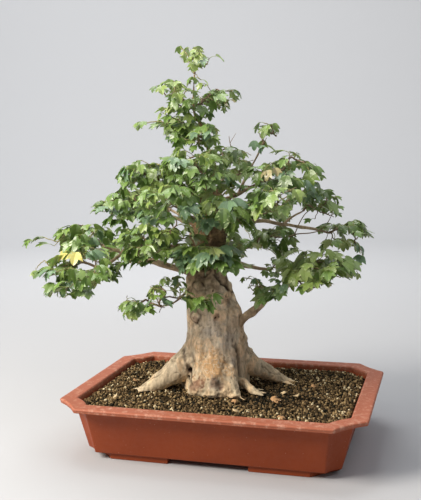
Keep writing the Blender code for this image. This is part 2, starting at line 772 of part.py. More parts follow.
def grow_spray(path, radii, mass, masses, limbs, placed, rng, far):
    """A spray with each leaf that finds room within some tries, and how many leaves it has."""
    spray = Spray(path, radii, far)
    outward = Vector((spray.tip.x - mass.centre.x, spray.tip.y - mass.centre.y, 0)) / mass.half + spray.ahead
    turn = math.atan2(outward.y, outward.x)
    count = 0
    for row, (side, swing, droop) in spray.places:
        corners = [spray.points[c] for c in spray.quads[row, side]]
        root = sum(corners, Vector()) / 4
        outside = (root - (spray.path[row] + spray.path[row + 1]) / 2).normalized()
        for _ in range(LEAF_TRIES):
            way = leaf_heading(turn, swing, droop, outside, rng)
            tilt = Vector((rng.uniform(-TILT_PLAY, TILT_PLAY), rng.uniform(-TILT_PLAY, TILT_PLAY), 1.0))
            across, outline = leaf_blade(root, way, tilt, mass.leaf * rng.uniform(*LENGTH_PLAY))
            if any(mass.reach_share(p) > OUTLINE_SLACK for p in outline) and not far:
                continue
            blade = corners + outline
            made = leaf_faces((0, 1, 2, 3), across, blade, 4)
            shape = BVHTree.FromPolygons([tuple(p) for p in blade], made)
            free = clear_of(blade, made, mass, masses, limbs) and not any(o.overlap(shape) for o in placed)
            if free and spray.add_leaf((row, side), across, outline):
                count += 1
                break
    return spray.points, spray.all_faces(), count


def plan_twigs(mass, masses, limbs, own, rng, tips):
    """The mass's twigs, without those that would leave its space or touch a limb."""
    twigs = Twigs(mass.seat, mass.heading)
    others = [limb for limb in limbs if limb is not own]
    twigs.add(0, [mass.seat + mass.heading * min(STEM_RUN, mass.half / 4)])
    for tip in sorted(tips, key=lambda point: (point - mass.seat).length):
        start = twigs.nearest(tip)
        curve = twigs.curve(start, tip)
        path = [twigs.points[start]] + curve
        points = [p for ring in tube_rings(path, [TWIG_THIN * TWIG_ROOM] * 3, 3) for p in ring]
        faces = list(twig_faces(3).values())
        near = others if start == 1 else limbs
        if clear_of(points, faces, mass, masses, near):
            twigs.add(start, curve)
    return twigs


def grow_mass(mass, masses, limbs, own, seed):
    """A mass of foliage as one body: stem, twigs and leaves, each skipped where there is no room.

    Where its union comes out open or in pieces, the mass is grown again from the next seed.
    """
    for attempt in range(UNION_TRIES):
        body, leaves, scraps = try_mass(mass, masses, limbs, own, random.Random(seed + attempt))
        if sound(body) and not scraps:
            break
        if attempt < UNION_TRIES - 1:
            bpy.data.objects.remove(body, do_unlink=True)
    return body, leaves


def try_mass(mass, masses, limbs, own, rng):
    wanted = max(3.0, LEAVES_PER_AREA * mass.half**2)
    tips = spread_tips(mass, masses, max(1, round(wanted / LEAVES_PER_TIP)), rng)
    far = tree_place(*REACH[mass.name]) if mass.name in REACH else None
    if far:
        tips.append(far)
    twigs = plan_twigs(mass, masses, limbs, own, rng, tips)
    parts = []
    placed = []
    leaves = 0
    for chain in twigs.chains:
        path = [twigs.points[i] for i in chain]
        radii = [twigs.thickness(i) for i in chain]
        if chain[0] == 0 and len(twigs.chains) > 1:
            parts.append(tube("stem", path, radii, 3))
            continue
        radii[0] = min(radii[0], radii[1] * 1.2)
        reaching = far is not None and path[-1] == far
        points, faces, count = grow_spray(path, radii, mass, masses, limbs, placed, rng, reaching)
        placed.append(BVHTree.FromPolygons([tuple(p) for p in points], faces))
        parts.append(solid("spray", points, faces))
        leaves += count
    body = parts[0]
    body.name = "foliage_" + mass.name
    body.data.name = body.name
    apply_boolean(body, parts[1:], "UNION", "MANIFOLD")
    scraps = keep_largest(body)
    return body, leaves, scraps


def closed(made):
    shape = bmesh.new()
    shape.from_mesh(made.data)
    good = all(edge.is_manifold for edge in shape.edges) and shape.calc_volume(signed=True) > 0
    shape.free()
    return good


def sound(made):
    """Whether a body is closed and none of its faces cross."""
    corners = [tuple(v.co) for v in made.data.vertices]
    faces = [tuple(p.vertices) for p in made.data.polygons]
    return closed(made) and not crossing(corners, faces, faces)


def make_boughs(masses, trunk_bvh):
    """Each mass's limb, with its start cut to the trunk or to the limb that bears it.

    Also returns the trunk and the limbs a little fatter, which twigs and leaves have to miss.
    """
    by_name = {mass.name: mass for mass in masses}
    guards = {"trunk": make_trunk("guard", TWIG_CLEAR)}
    for mass in masses:
        if mass.thick == 0.0:
            seat_on_trunk(mass, trunk_bvh)
            continue
        route_limb(mass, by_name, masses)
        guards[mass.name] = limb_tube(mass, TWIG_CLEAR)
    limbs = {name: tree_of(guard) for name, guard in guards.items()}
    for guard in guards.values():
        bpy.data.objects.remove(guard, do_unlink=True)
    boughs = []
    for mass in masses:
        if mass.thick == 0.0:
            continue
        bough = limb_tube(mass)
        if mass.parent == "trunk":
            cutter = make_trunk("cutter", CLEAR * FATTER)
        else:
            cutter = limb_tube(by_name[mass.parent], CLEAR * FATTER)
        apply_boolean(bough, [cutter], "DIFFERENCE", "MANIFOLD")
        keep_largest(bough)
        boughs.append(bough)
    return boughs, limbs


def move_to_origin(pieces):
    """Moves every piece so that the origin is under the middle of the whole box."""
    low = Vector(min(v.co[i] for o in pieces for v in o.data.vertices) for i in range(3))
    high = Vector(max(v.co[i] for o in pieces for v in o.data.vertices) for i in range(3))
    shift = Vector(((low.x + high.x) / 2, (low.y + high.y) / 2, low.z))
    for piece in pieces:
        piece.location = -shift
    bpy.context.view_layer.update()
    print("size", [round(v, 4) for v in high - low], "moved by", [round(-v, 5) for v in shift])


def main():
    start_empty()
    clay = material("fired_clay", (0.305, 0.060, 0.022), 0.75)
    earth = material("soil_granules", (0.060, 0.038, 0.020), 0.95)
    bark = material("bark", (0.330, 0.235, 0.140), 0.85)
    green = material("leaf_green", (0.085, 0.190, 0.045), 0.55)

    pot, trunk = make_pot(), make_trunk("trunk")
    trunk_bvh = tree_of(trunk)
    soil = make_soil(trunk_bvh)
    masses = [Mass(row) for row in MASSES]
    boughs, limbs = make_boughs(masses, trunk_bvh)
    total = 0
    foliage = []
    for number, mass in enumerate(masses):
        own = limbs["trunk"] if mass.thick == 0.0 else limbs[mass.name]
        body, leaves = grow_mass(mass, masses, list(limbs.values()), own, SEED + number * 17)
        foliage.append(body)
        total += leaves
        print(body.name, "leaves", leaves, "sound", sound(body),
              "seat in own space", mass.inside(mass.seat, masses, 0.0))

    pieces = [pot, soil, trunk] + boughs + foliage
    coats = [clay, earth, bark] + [bark] * len(boughs) + [green] * len(foliage)
    for piece, coat in zip(pieces, coats):
        piece.data.materials.clear()
        piece.data.materials.append(coat)
    move_to_origin(pieces)
    print("leaves", total)
    print("closed", {o.name: closed(o) for o in pieces if not closed(o)} or "all")
    print("triangles", sum(len(p.vertices) - 2 for o in pieces for p in o.data.polygons))


main()
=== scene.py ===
# %% [markdown]
# # The looks of a trident maple in its clay pot
# The model comes in as plain solids at their real sizes. This script dresses them: it makes the pot
# again with eased edges, strews granules over the soil, grows the bark's relief on the trunk and the
# boughs, and grows each mass of foliage again with finer twigs and more leaves.

# %% Load the model
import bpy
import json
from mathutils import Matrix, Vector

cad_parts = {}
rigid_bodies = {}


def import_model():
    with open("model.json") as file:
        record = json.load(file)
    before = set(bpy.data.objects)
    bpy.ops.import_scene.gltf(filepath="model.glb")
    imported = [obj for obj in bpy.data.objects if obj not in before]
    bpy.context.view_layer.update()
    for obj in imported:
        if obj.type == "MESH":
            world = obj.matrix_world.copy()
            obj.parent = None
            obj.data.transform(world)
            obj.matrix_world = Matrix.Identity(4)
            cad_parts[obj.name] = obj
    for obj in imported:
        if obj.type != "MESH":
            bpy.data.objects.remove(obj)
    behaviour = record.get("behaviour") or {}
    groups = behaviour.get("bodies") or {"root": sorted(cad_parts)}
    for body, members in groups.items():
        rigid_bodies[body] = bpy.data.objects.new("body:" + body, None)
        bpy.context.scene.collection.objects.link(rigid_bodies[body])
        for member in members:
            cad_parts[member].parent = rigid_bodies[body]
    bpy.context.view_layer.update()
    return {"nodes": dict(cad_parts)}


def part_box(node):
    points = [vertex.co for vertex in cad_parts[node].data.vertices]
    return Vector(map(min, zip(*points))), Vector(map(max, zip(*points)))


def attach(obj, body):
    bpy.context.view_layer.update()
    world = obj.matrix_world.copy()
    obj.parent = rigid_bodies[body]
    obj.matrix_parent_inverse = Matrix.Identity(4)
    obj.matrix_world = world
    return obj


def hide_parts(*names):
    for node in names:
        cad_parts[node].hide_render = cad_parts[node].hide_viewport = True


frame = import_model()

# %% Tools
import json
import math
import random
from itertools import product

import bmesh
import bpy
import numpy as np
from mathutils import Matrix, Vector, noise
from mathutils.bvhtree import BVHTree

MM = 0.001
UP = Vector((0, 0, 1))

# %% [markdown]
# ## Where things stand
# Places are in metres, and sizes that are easier to picture are written in millimetres. The pot's
# outline and the ground come from the solids' own boxes. The tree's front is turned a little from the
# pot's long wall, so its places are written as right, away and up from its foot, and one function
# turns them into the model's own axes.

# %% Places
pot_low, pot_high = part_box("pot")
POT_MIDDLE = Vector(((pot_low.x + pot_high.x) / 2, (pot_low.y + pot_high.y) / 2, 0))
POT_LENGTH = pot_high.x - pot_low.x
POT_WIDTH = pot_high.y - pot_low.y
POT_HEIGHT = pot_high.z
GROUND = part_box("trunk")[0].z
FOOT = POT_MIDDLE + Vector((-27.2 * MM, 15.1 * MM, GROUND))
FRONT_TURN = math.radians(15.9)
TO_RIGHT = Vector((math.cos(FRONT_TURN), math.sin(FRONT_TURN), 0))
AWAY = Vector((-math.sin(FRONT_TURN), math.cos(FRONT_TURN), 0))


def tree_place(right, away, up):
    """A place near the tree in the model's own axes."""
    return FOOT + TO_RIGHT * right + AWAY * away + UP * up


print("ground at", round(GROUND / MM, 1), "mm, pot", [round(v / MM) for v in (POT_LENGTH, POT_WIDTH)], "mm")

# %% [markdown]
# ## The camera
# The photograph was taken from a little above the pot with a fairly long lens. The pot's rim, a known
# outline, fixed the camera's place and angle. A pixel can then be turned into a ray, which is how
# knots and scars are put on the bark: where the ray meets the trunk. The other way round, a point of
# the model can be turned into the pixel where it shows.

# %% Camera
PHOTO_WIDE, PHOTO_HIGH = 421, 500
CAMERA_PLACE = POT_MIDDLE + Vector((0.3315, -1.2587, 0.469))
CAMERA_DOWN = math.radians(7.34)
CAMERA_TURN = math.radians(15.91)
CAMERA_ROLL = -0.014
LENS_MM = 61.14
SENSOR_MM = 36.0  # the longer side of the picture, which is its height here


def camera_axes():
    """The camera's right, up and forward directions."""
    level = Vector((-math.sin(CAMERA_TURN), math.cos(CAMERA_TURN), 0))
    forward = level * math.cos(CAMERA_DOWN) - UP * math.sin(CAMERA_DOWN)
    right = forward.cross(UP).normalized()
    above = right.cross(forward).normalized()
    rolled = (right * math.cos(CAMERA_ROLL) + above * math.sin(CAMERA_ROLL)).normalized()
    return rolled, rolled.cross(forward).normalized(), forward


CAMERA_RIGHT, CAMERA_ABOVE, CAMERA_FORWARD = camera_axes()


def make_camera():
    lens = bpy.data.cameras.new("camera")
    lens.lens = LENS_MM
    lens.sensor_width = SENSOR_MM
    camera = bpy.data.objects.new("camera", lens)
    turn = Matrix((CAMERA_RIGHT, CAMERA_ABOVE, -CAMERA_FORWARD)).transposed().to_4x4()
    camera.matrix_world = Matrix.Translation(CAMERA_PLACE) @ turn
    bpy.context.scene.collection.objects.link(camera)
    bpy.context.scene.camera = camera


def pixel_ray(across, down):
    """The direction from the camera through a pixel of the photograph."""
    pixel = SENSOR_MM / PHOTO_HIGH
    side = CAMERA_RIGHT * (across - PHOTO_WIDE / 2) * pixel
    rise = CAMERA_ABOVE * (PHOTO_HIGH / 2 - down) * pixel
    return (CAMERA_FORWARD * LENS_MM + side + rise).normalized()


def pixel_of(point):
    """Where a point of the model shows in the photograph."""
    off = point - CAMERA_PLACE
    scale = LENS_MM / off.dot(CAMERA_FORWARD) * PHOTO_HIGH / SENSOR_MM
    return PHOTO_WIDE / 2 + off.dot(CAMERA_RIGHT) * scale, PHOTO_HIGH / 2 - off.dot(CAMERA_ABOVE) * scale


make_camera()
print("camera", [round(v, 3) for v in CAMERA_PLACE])

# %% [markdown]
# ## Helpers for meshes and materials
# Colours are written as the hex codes of a paint chart and turned to linear light by one function.
# One function adds any shader node with its settings, values and links, so that a material reads as
# a short list of what it mixes. Sockets that share a name are given by number: in a Mix node of
# colours 0 is the share, 6 and 7 are the two colours, and output 2 is the mix. In a MapRange node 1
# and 2 are the range that comes in, and 3 and 4 the range that goes out, which is 0 to 1 if not given.

# %% Helpers
NEARLY_UPRIGHT = 0.95


def colour(code):
    """A hex colour as the linear values that a shader takes, by the sRGB standard's own curve."""
    shares = [int(code[i:i + 2], 16) / 255 for i in (1, 3, 5)]
    return (*(s / 12.92 if s <= 0.04045 else ((s + 0.055) / 1.055) ** 2.4 for s in shares), 1.0)


def add(tree, kind, inputs, **settings):
    """One shader node, with its settings and with a value or a link for each input."""
    node = tree.nodes.new("ShaderNode" + kind)
    for name, value in settings.items():
        setattr(node, name, value)
    for socket, value in inputs.items():
        if isinstance(value, bpy.types.NodeSocket):
            tree.links.new(value, node.inputs[socket])
        else:
            node.inputs[socket].default_value = value
    return node


def new_material(name, code, roughness, **plain):
    """A material whose shader has plain values on its own sockets."""
    made = bpy.data.materials.new(name)
    made.use_nodes = True
    shader = made.node_tree.nodes["Principled BSDF"]
    shader.inputs["Base Color"].default_value = colour(code)
    shader.inputs["Roughness"].default_value = roughness
    for socket, value in plain.items():
        shader.inputs[socket.replace("_", " ")].default_value = value
    return made


def patterned(made):
    """What a material's pattern is made from: its node tree, its shader and the place on the object."""
    tree = made.node_tree
    return tree, tree.nodes["Principled BSDF"], add(tree, "TexCoord", {}).outputs["Object"]


def per_mm(size):
    """The scale at which a noise has blotches of this many millimetres."""
    return 1 / (size * MM)


def new_piece(name, points, faces, materials, slots=None, smooth=True):
    """A mesh object from points and faces, whose faces take their materials by number."""
    mesh = bpy.data.meshes.new(name)
    mesh.from_pydata([tuple(p) for p in points], [], faces)
    for material in materials:
        mesh.materials.append(material)
    if slots is not None:
        mesh.polygons.foreach_set("material_index", slots)
    mesh.polygons.foreach_set("use_smooth", [smooth] * len(mesh.polygons))
    made = bpy.data.objects.new(name, mesh)
    bpy.context.scene.collection.objects.link(made)
    return made


def loop_faces(rows, count, first=0):
    """Quads between rows of points that each go once round, with a flat end at both ends."""
    faces = [tuple(first + i for i in reversed(range(count)))]
    for row in range(rows - 1):
        low = first + row * count
        for i in range(count):
            j = (i + 1) % count
            faces.append((low + i, low + j, low + count + j, low + count + i))
    last = first + (rows - 1) * count
    faces.append(tuple(range(last, last + count)))
    return faces


def rings_along(path, radii, sides):
    """Rings of points square to a path, each turned as little as possible from the last."""
    rings = []
    side = None
    for i, point in enumerate(path):
        along = (path[min(i + 1, len(path) - 1)] - path[max(i - 1, 0)]).normalized()
        if side is None:
            level = abs(along.dot(UP)) < NEARLY_UPRIGHT
            side = along.cross(UP) if level else along.cross(Vector((1, 0, 0)))
        side = (side - along * side.dot(along)).normalized()
        other = along.cross(side)
        turns = [2 * math.pi * k / sides for k in range(sides)]
        rings.append([point + (side * math.cos(a) + other * math.sin(a)) * radii[i] for a in turns])
    return rings


class Heap:
    """Points and faces of many small things, gathered for one mesh."""

    def __init__(self):
        self.points = []
        self.faces = []
        self.slots = []

    def add(self, points, faces, slot=0):
        first = len(self.points)
        self.points += points
        self.faces += [tuple(first + i for i in face) for face in faces]
        self.slots += [slot] * len(faces)

    def add_tube(self, path, radii, sides, slot=0):
        rings = rings_along(path, radii, sides)
        self.add([p for ring in rings for p in ring], loop_faces(len(rings), sides), slot)

    def piece(self, name, materials, smooth=True):
        return new_piece(name, self.points, self.faces, materials, self.slots, smooth)


def triangles(piece):
    return sum(len(face.vertices) - 2 for face in piece.data.polygons)


def evaluated(piece):
    """Applies a piece's modifiers."""
    shape = piece.evaluated_get(bpy.context.evaluated_depsgraph_get())
    mesh = bpy.data.meshes.new_from_object(shape)
    piece.modifiers.clear()
    piece.data = mesh
    return piece


def face_out(piece):
    """Turns every face of a closed mesh outwards."""
    shape = bmesh.new()
    shape.from_mesh(piece.data)
    bmesh.ops.recalc_face_normals(shape, faces=shape.faces)
    shape.to_mesh(piece.data)
    shape.free()


print("helpers ready")

# %% [markdown]
# ## The pot's shape
# A training pot of this kind is pressed or cast in one: a flat lip, walls that taper towards the
# feet, and corners cut off in a shallow cove. A bevelled box can't have the coves, so one function
# gives any level line of the pot, and the profile is a list of those lines from the underside, up the
# wall, over the lip and down inside. Real clay has no sharp edges, so each corner is eased.

# %% Pot
CUT_X = 42 * MM
CUT_Y = 44 * MM
COVE = 3 * MM
COVE_STEPS = 8
CUT_SHRINK = 2 - math.sqrt(2)  # a cut corner gets this much shorter for each step inwards
CORNER_EASE = 2.5 * MM
EASE_STEPS = 3
EASE_MOST = 0.45  # the share of a side that the curve at one of its ends may take
BODY_INSET_FOOT = 38.5 * MM
BODY_INSET_TOP = 20 * MM
LIP_DEPTH = 7.5 * MM
LIP_WIDTH = 24.7 * MM
WALL = 6 * MM
FOOT_HEIGHT = 9.4 * MM
FLOOR = FOOT_HEIGHT + WALL
# Each row: how far in from the lip's outline, the height, and how far the edge there is eased
POT_PROFILE = (
    (60 * MM, FOOT_HEIGHT, 0),
    (BODY_INSET_FOOT, FOOT_HEIGHT, 2.2 * MM),
    (BODY_INSET_TOP + 0.4 * MM, POT_HEIGHT - LIP_DEPTH - 0.5 * MM, 2.0 * MM),
    (0.8 * MM, POT_HEIGHT - LIP_DEPTH + 0.5 * MM, 1.2 * MM),
    (0.7 * MM, POT_HEIGHT - 4.2 * MM, 0.5 * MM),
    (0, POT_HEIGHT - 3.2 * MM, 0.5 * MM),
    (0, POT_HEIGHT - 1.6 * MM, 0.8 * MM),
    (1.6 * MM, POT_HEIGHT, 1.2 * MM),
    (LIP_WIDTH / 2, POT_HEIGHT - 0.5 * MM, 6 * MM),
    (LIP_WIDTH - 1.2 * MM, POT_HEIGHT, 1.2 * MM),
    (BODY_INSET_TOP + WALL - 0.4 * MM, POT_HEIGHT - 2 * MM, 1.0 * MM),
    (BODY_INSET_TOP + WALL, POT_HEIGHT - LIP_DEPTH, 1.0 * MM),
    (BODY_INSET_FOOT + WALL, FLOOR, 3 * MM),
    (65 * MM, FLOOR, 0),
)


def eased(before, corner, after, reach):
    """The points of a small curve that takes the sharpness off a corner."""
    if reach == 0:
        return [corner]
    back, on = before - corner, after - corner
    start = corner + back.normalized() * min(reach, back.length * EASE_MOST)
    end = corner + on.normalized() * min(reach, on.length * EASE_MOST)
    shares = [k / EASE_STEPS for k in range(EASE_STEPS + 1)]
    return [start.lerp(corner, t).lerp(corner.lerp(end, t), t) for t in shares]


def pot_outline(inset, height):
    """One level line round the pot, with its corners cut off in a cove."""
    half_x = POT_LENGTH / 2 - inset
    half_y = POT_WIDTH / 2 - inset
    shorter = inset * CUT_SHRINK
    line = []
    for sign_x, sign_y in ((1, -1), (1, 1), (-1, 1), (-1, -1)):
        first = Vector((sign_x * (half_x - CUT_X + shorter), sign_y * half_y, height))
        last = Vector((sign_x * half_x, sign_y * (half_y - CUT_Y + shorter), height))
        inward = Vector((-sign_x, -sign_y, 0)).normalized()
        shares = [k / COVE_STEPS for k in range(COVE_STEPS + 1)]
        cove = [first.lerp(last, t) + inward * COVE * 4 * t * (1 - t) for t in shares]
        before = first - Vector((sign_x * half_x, 0, 0))
        after = last - Vector((0, sign_y * half_y, 0))
        corner = eased(before, cove[0], cove[1], CORNER_EASE) + cove[1:-1]
        corner += eased(cove[-2], cove[-1], after, CORNER_EASE)
        line += corner if sign_x * sign_y < 0 else corner[::-1]
    return [POT_MIDDLE + point for point in line]


def eased_profile(rows):
    """The profile's rows as (inset, height), with each edge eased."""
    flat = [Vector((inset, height)) for inset, height, _ in rows]
    out = [flat[0]]
    for i in range(1, len(rows) - 1):
        out += eased(flat[i - 1], flat[i], flat[i + 1], rows[i][2])
    return out + [flat[-1]]


print("pot profile", len(eased_profile(POT_PROFILE)), "rows of", len(pot_outline(0, 0)), "points")

# %% [markdown]
# ## The pot's feet and holes
# The pot stands on a low strip under each cut corner. The strips are as long as the photograph
# shows, and end in one flat plane, as feet do that were pressed against a board. Two holes let water
# out through the floor: a Boolean cuts them, because a hole with a true round wall is what a drill or
# a mould's pin leaves.

# %% Pot feet and holes
FOOT_INSET = 5 * MM
FOOT_WIDE = 18 * MM
FOOT_LONG_FRONT = 89 * MM
FOOT_LONG_SIDE = 55 * MM
FOOT_EASE = 1.2 * MM
HOLE_RADIUS = 11 * MM
HOLE_PLACE = 90 * MM
HOLE_SIDES = 48
SHARP_FROM = math.radians(50)


def foot_rings(sign_x, sign_y):
    """The strip under one corner, as level rings from its underside up into the floor."""
    half_x = POT_LENGTH / 2 - BODY_INSET_FOOT - FOOT_INSET
    half_y = POT_WIDTH / 2 - BODY_INSET_FOOT - FOOT_INSET
    cut = CUT_X - FOOT_INSET
    shrink = FOOT_WIDE * math.tan(math.pi / 8)
    corners = (
        (half_x - cut - FOOT_LONG_FRONT, half_y), (half_x - cut, half_y), (half_x, half_y - cut),
        (half_x, half_y - cut - FOOT_LONG_SIDE), (half_x - FOOT_WIDE, half_y - cut - FOOT_LONG_SIDE),
        (half_x - FOOT_WIDE, half_y - cut - shrink), (half_x - cut - shrink, half_y - FOOT_WIDE),
        (half_x - cut - FOOT_LONG_FRONT, half_y - FOOT_WIDE),
    )
    corners = [Vector((x, y, 0)) for x, y in corners]
    middle = sum(corners, Vector()) / len(corners)
    round_off = FOOT_EASE * 0.3
    levels = ((FOOT_EASE, 0), (round_off, round_off), (0, FOOT_EASE), (0, FOOT_HEIGHT + WALL / 2))
    rings = []
    for inset, height in levels:
        line = []
        for i, corner in enumerate(corners):
            after = corners[(i + 1) % len(corners)]
            line += eased(corners[i - 1], corner, after, FOOT_EASE)
        ring = [p + (middle - p).normalized() * inset for p in line]
        rings.append([POT_MIDDLE + Vector((sign_x * p.x, sign_y * p.y, height)) for p in ring])
    if sign_x * sign_y > 0:
        rings = [ring[::-1] for ring in rings]
    return rings


def drill(piece):
    """Cuts the two drain holes through the floor."""
    cutters = Heap()
    for place in (-HOLE_PLACE, HOLE_PLACE):
        low = POT_MIDDLE + Vector((place, 0, 0))
        cutters.add_tube([low, low + UP * (FLOOR + WALL)], [HOLE_RADIUS] * 2, HOLE_SIDES)
    cutter = cutters.piece("cutter", [])
    modifier = piece.modifiers.new("holes", "BOOLEAN")
    modifier.operation = "DIFFERENCE"
    modifier.object = cutter
    evaluated(piece)
    bpy.data.objects.remove(cutter, do_unlink=True)


def make_pot(material):
    """The pot with its drain holes, and the strips that it stands on."""
    rings = [pot_outline(inset, height) for inset, height in eased_profile(POT_PROFILE)]
    faces = loop_faces(len(rings), len(rings[0]))
    body = new_piece("clay_pot", [p for ring in rings for p in ring], faces, [material])
    face_out(body)
    drill(body)
    feet = Heap()
    for sign_x in (-1, 1):
        for sign_y in (-1, 1):
            rings = foot_rings(sign_x, sign_y)
            feet.add([p for ring in rings for p in ring], loop_faces(len(rings), len(rings[0])))
    strips = feet.piece("clay_pot_feet", [material])
    face_out(strips)
    for piece in (body, strips):
        piece.data.set_sharp_from_angle(angle=SHARP_FROM)
        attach(piece, "root")
        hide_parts("pot")
    return body, strips


print("a foot strip has", len(foot_rings(1, 1)[0]), "points round it")

# %% [markdown]
# ## Red clay
# The pot is red earthenware: iron in the clay fires to a brick orange. Unglazed clay is matt, with
# a fine grain, and its colour drifts a little over a hand's width. Handling and dust leave the lip
# paler and pinker than the walls, with scuffs along its edges, and it is painted paler still, as
# painted light falling on it from above.

# %% Red clay
CLAY = "#984217"
CLAY_DEEP = "#80330F"
CLAY_LIP_DUSTY_LIT = "#9E583D"
CLAY_DUST = "#CFA38D"
CLAY_DRIFT_MM = 45
CLAY_SCUFF_MM = 7
CLAY_SPECK_MM = 8  # how far apart the specks of dust are
CLAY_GRAIN_MM = 0.9  # coarser than real clay's grain, which would be too fine to show


def make_clay():
    """Matt red clay, its lip paler, with dust and scuffs on it."""
    made = new_material("red_clay", CLAY, 0.62, Specular_IOR_Level=0.4)
    tree, shader, place = patterned(made)
    height = add(tree, "SeparateXYZ", {0: place}).outputs["Z"]
    drift = add(tree, "TexNoise", {"Vector": place, "Scale": per_mm(CLAY_DRIFT_MM), "Detail": 3.0})
    wall = add(tree, "Mix", {0: drift.outputs["Fac"], 6: colour(CLAY_DEEP), 7: colour(CLAY)},
               data_type="RGBA")
    # The lip's colour: dust and handling, and painted light from above
    on_lip = add(tree, "MapRange", {0: height, 1: POT_HEIGHT - LIP_DEPTH - 1 * MM,
                                    2: POT_HEIGHT - LIP_DEPTH + 3 * MM})
    body = add(tree, "Mix", {0: on_lip.outputs[0], 6: wall.outputs[2], 7: colour(CLAY_LIP_DUSTY_LIT)},
               data_type="RGBA")
    scuff = add(tree, "TexNoise", {"Vector": place, "Scale": per_mm(CLAY_SCUFF_MM), "Detail": 8.0,
                                   "Roughness": 0.68})
    worn = add(tree, "MapRange", {0: scuff.outputs["Fac"], 1: 0.50, 2: 0.70, 4: 0.65})
    worn_lip = add(tree, "Math", {0: worn.outputs[0], 1: on_lip.outputs[0]}, operation="MULTIPLY")
    speck = add(tree, "TexVoronoi", {"Vector": place, "Scale": per_mm(CLAY_SPECK_MM)})
    dot = add(tree, "MapRange", {0: speck.outputs["Distance"], 1: 0.10, 2: 0.05, 4: 0.35})
    dust = add(tree, "Math", {0: worn_lip.outputs[0], 1: dot.outputs[0]}, operation="MAXIMUM")
    dusty = add(tree, "Mix", {0: dust.outputs[0], 6: body.outputs[2], 7: colour(CLAY_DUST)},
                data_type="RGBA")
    tree.links.new(dusty.outputs[2], shader.inputs["Base Color"])
    rough = add(tree, "MapRange", {0: scuff.outputs["Fac"], 1: 0.3, 2: 0.7, 3: 0.50, 4: 0.74})
    tree.links.new(rough.outputs[0], shader.inputs["Roughness"])
    grain = add(tree, "TexNoise", {"Vector": place, "Scale": per_mm(CLAY_GRAIN_MM), "Detail": 4.0})
    bump = add(tree, "Bump", {"Height": grain.outputs["Fac"], "Strength": 0.35, "Distance": 0.15 * MM})
    tree.links.new(bump.outputs["Normal"], shader.inputs["Normal"])
    return made


red_clay = make_clay()
pot_body, pot_feet = make_pot(red_clay)
print("pot", triangles(pot_body) + triangles(pot_feet), "triangles")

# %% [markdown]
# ## The trunk's shape
# The stump is a stack of rings that leans and tapers, with a thin leader out of its top and surface
# roots out of its foot, all from the same rows of sizes as the solid one. Finer rootlets, webs between
# the stout front roots and a collar round each bough are added. Booleans would leave a hard line at
# every joint, so a voxel remesh melts the lot into one skin, as living wood grows over its joints. Its
# voxels are small enough to keep a rootlet.

# %% Trunk sizes
# Each row: height, right, away, half width
TRUNK = (
    (-0.012, 0, 0.002, 0.056), (0.018, 0, 0.002, 0.053), (0.041, 0.001, 0.001, 0.051),
    (0.06, 0.002, 0, 0.051), (0.076, 0.001, 0, 0.0478), (0.092, 0, 0, 0.0443),
    (0.122, -0.001, 0.001, 0.043), (0.154, -0.008, 0.002, 0.0358), (0.187, -0.011, 0.003, 0.0307),
    (0.234, -0.008, 0.002, 0.0296), (0.262, -0.002, 0.001, 0.029), (0.284, 0.001, 0.001, 0.024),
    (0.3, 0.001, 0.002, 0.0175), (0.316, -0.003, 0.003, 0.01),
)
LEADER = (
    (0.296, 0, 0.002, 0.011), (0.318, -0.004, 0.003, 0.0082), (0.345, -0.005, 0.003, 0.0048),
    (0.374, -0.005, 0.001, 0.0037), (0.404, -0.012, -0.002, 0.0032), (0.428, -0.025, -0.003, 0.0027),
    (0.455, -0.027, -0.001, 0.0022), (0.49, -0.025, 0.001, 0.0018),
)
# Each row: tip right, tip away, height where it leaves the trunk, thickness there and at the tip
ROOTS = (
    (-0.121, -0.026, 0.066, 0.036, 0.007), (-0.03, -0.052, 0.072, 0.034, 0.015),
    (0, -0.058, 0.088, 0.045, 0.021), (0.031, -0.07, 0.095, 0.032, 0.0085),
    (0.074, -0.062, 0.045, 0.013, 0.0032), (0.127, 0.018, 0.066, 0.032, 0.0035),
    (0.068, 0.074, 0.07, 0.032, 0.006), (-0.014, 0.09, 0.078, 0.038, 0.007),
    (-0.09, 0.054, 0.07, 0.034, 0.0055),
)
# Wood that has grown shut between the stout front roots, in rows like theirs
WEBS = ((-0.015, -0.055, 0.08, 0.038, 0.0165), (0.016, -0.064, 0.09, 0.037, 0.0150))
# Each row: from right, from away, to right, to away, thickness where it starts
ROOTLETS = (
    (0.05, -0.04, 0.078, -0.028, 0.0026), (0.06, -0.052, 0.083, -0.05, 0.0022),
    (0.108, 0.01, 0.132, -0.014, 0.0028), (0.112, 0.016, 0.14, 0.008, 0.0022),
    (-0.112, -0.024, -0.132, -0.012, 0.0026), (0.03, -0.058, 0.044, -0.082, 0.0026),
    (0.06, 0.066, 0.078, 0.09, 0.0024), (-0.082, 0.048, -0.104, 0.06, 0.0024),
)
TRUNK_SIDES = 44
TRUNK_DEPTH = 0.93
# The flutes of the stump: how deep, how many round it, where they start and how they wind upwards
FLUTES = ((0.025, 3, 1.0, 9), (0.020, 5, 0.0, 14))
ROOT_START = 0.05
ROOT_DROP = 1.2
ROOT_TAPER = 1.2
ROOT_SUNK = 3 * MM
ROOT_STEPS = 14
ROOT_WANDER = 2.2 * MM
ROOT_KNOBS = 0.10
STOUT_END = 12 * MM
# The rounded end of a stout root: how far on and how thick, as shares of its end
ROOT_DOME = ((0.35, 0.93), (0.65, 0.76), (0.88, 0.46))
ROOTLET_STEPS = 6
ROOTLET_WANDER_MM = 4
ROOTLET_TAPER = 0.55
ROOTLET_RISE, ROOTLET_DROP = 0.8, 1.2  # how high it starts and how far it sinks, in its thicknesses
AXIS_STEPS = 6


def between(p, q, r, s, t):
    """A number between q and r on the smooth curve through all four."""
    bend = 2 * p - 5 * q + 4 * r - s
    return 0.5 * (2 * q + (r - p) * t + bend * t**2 + (3 * q - p - 3 * r + s) * t**3)


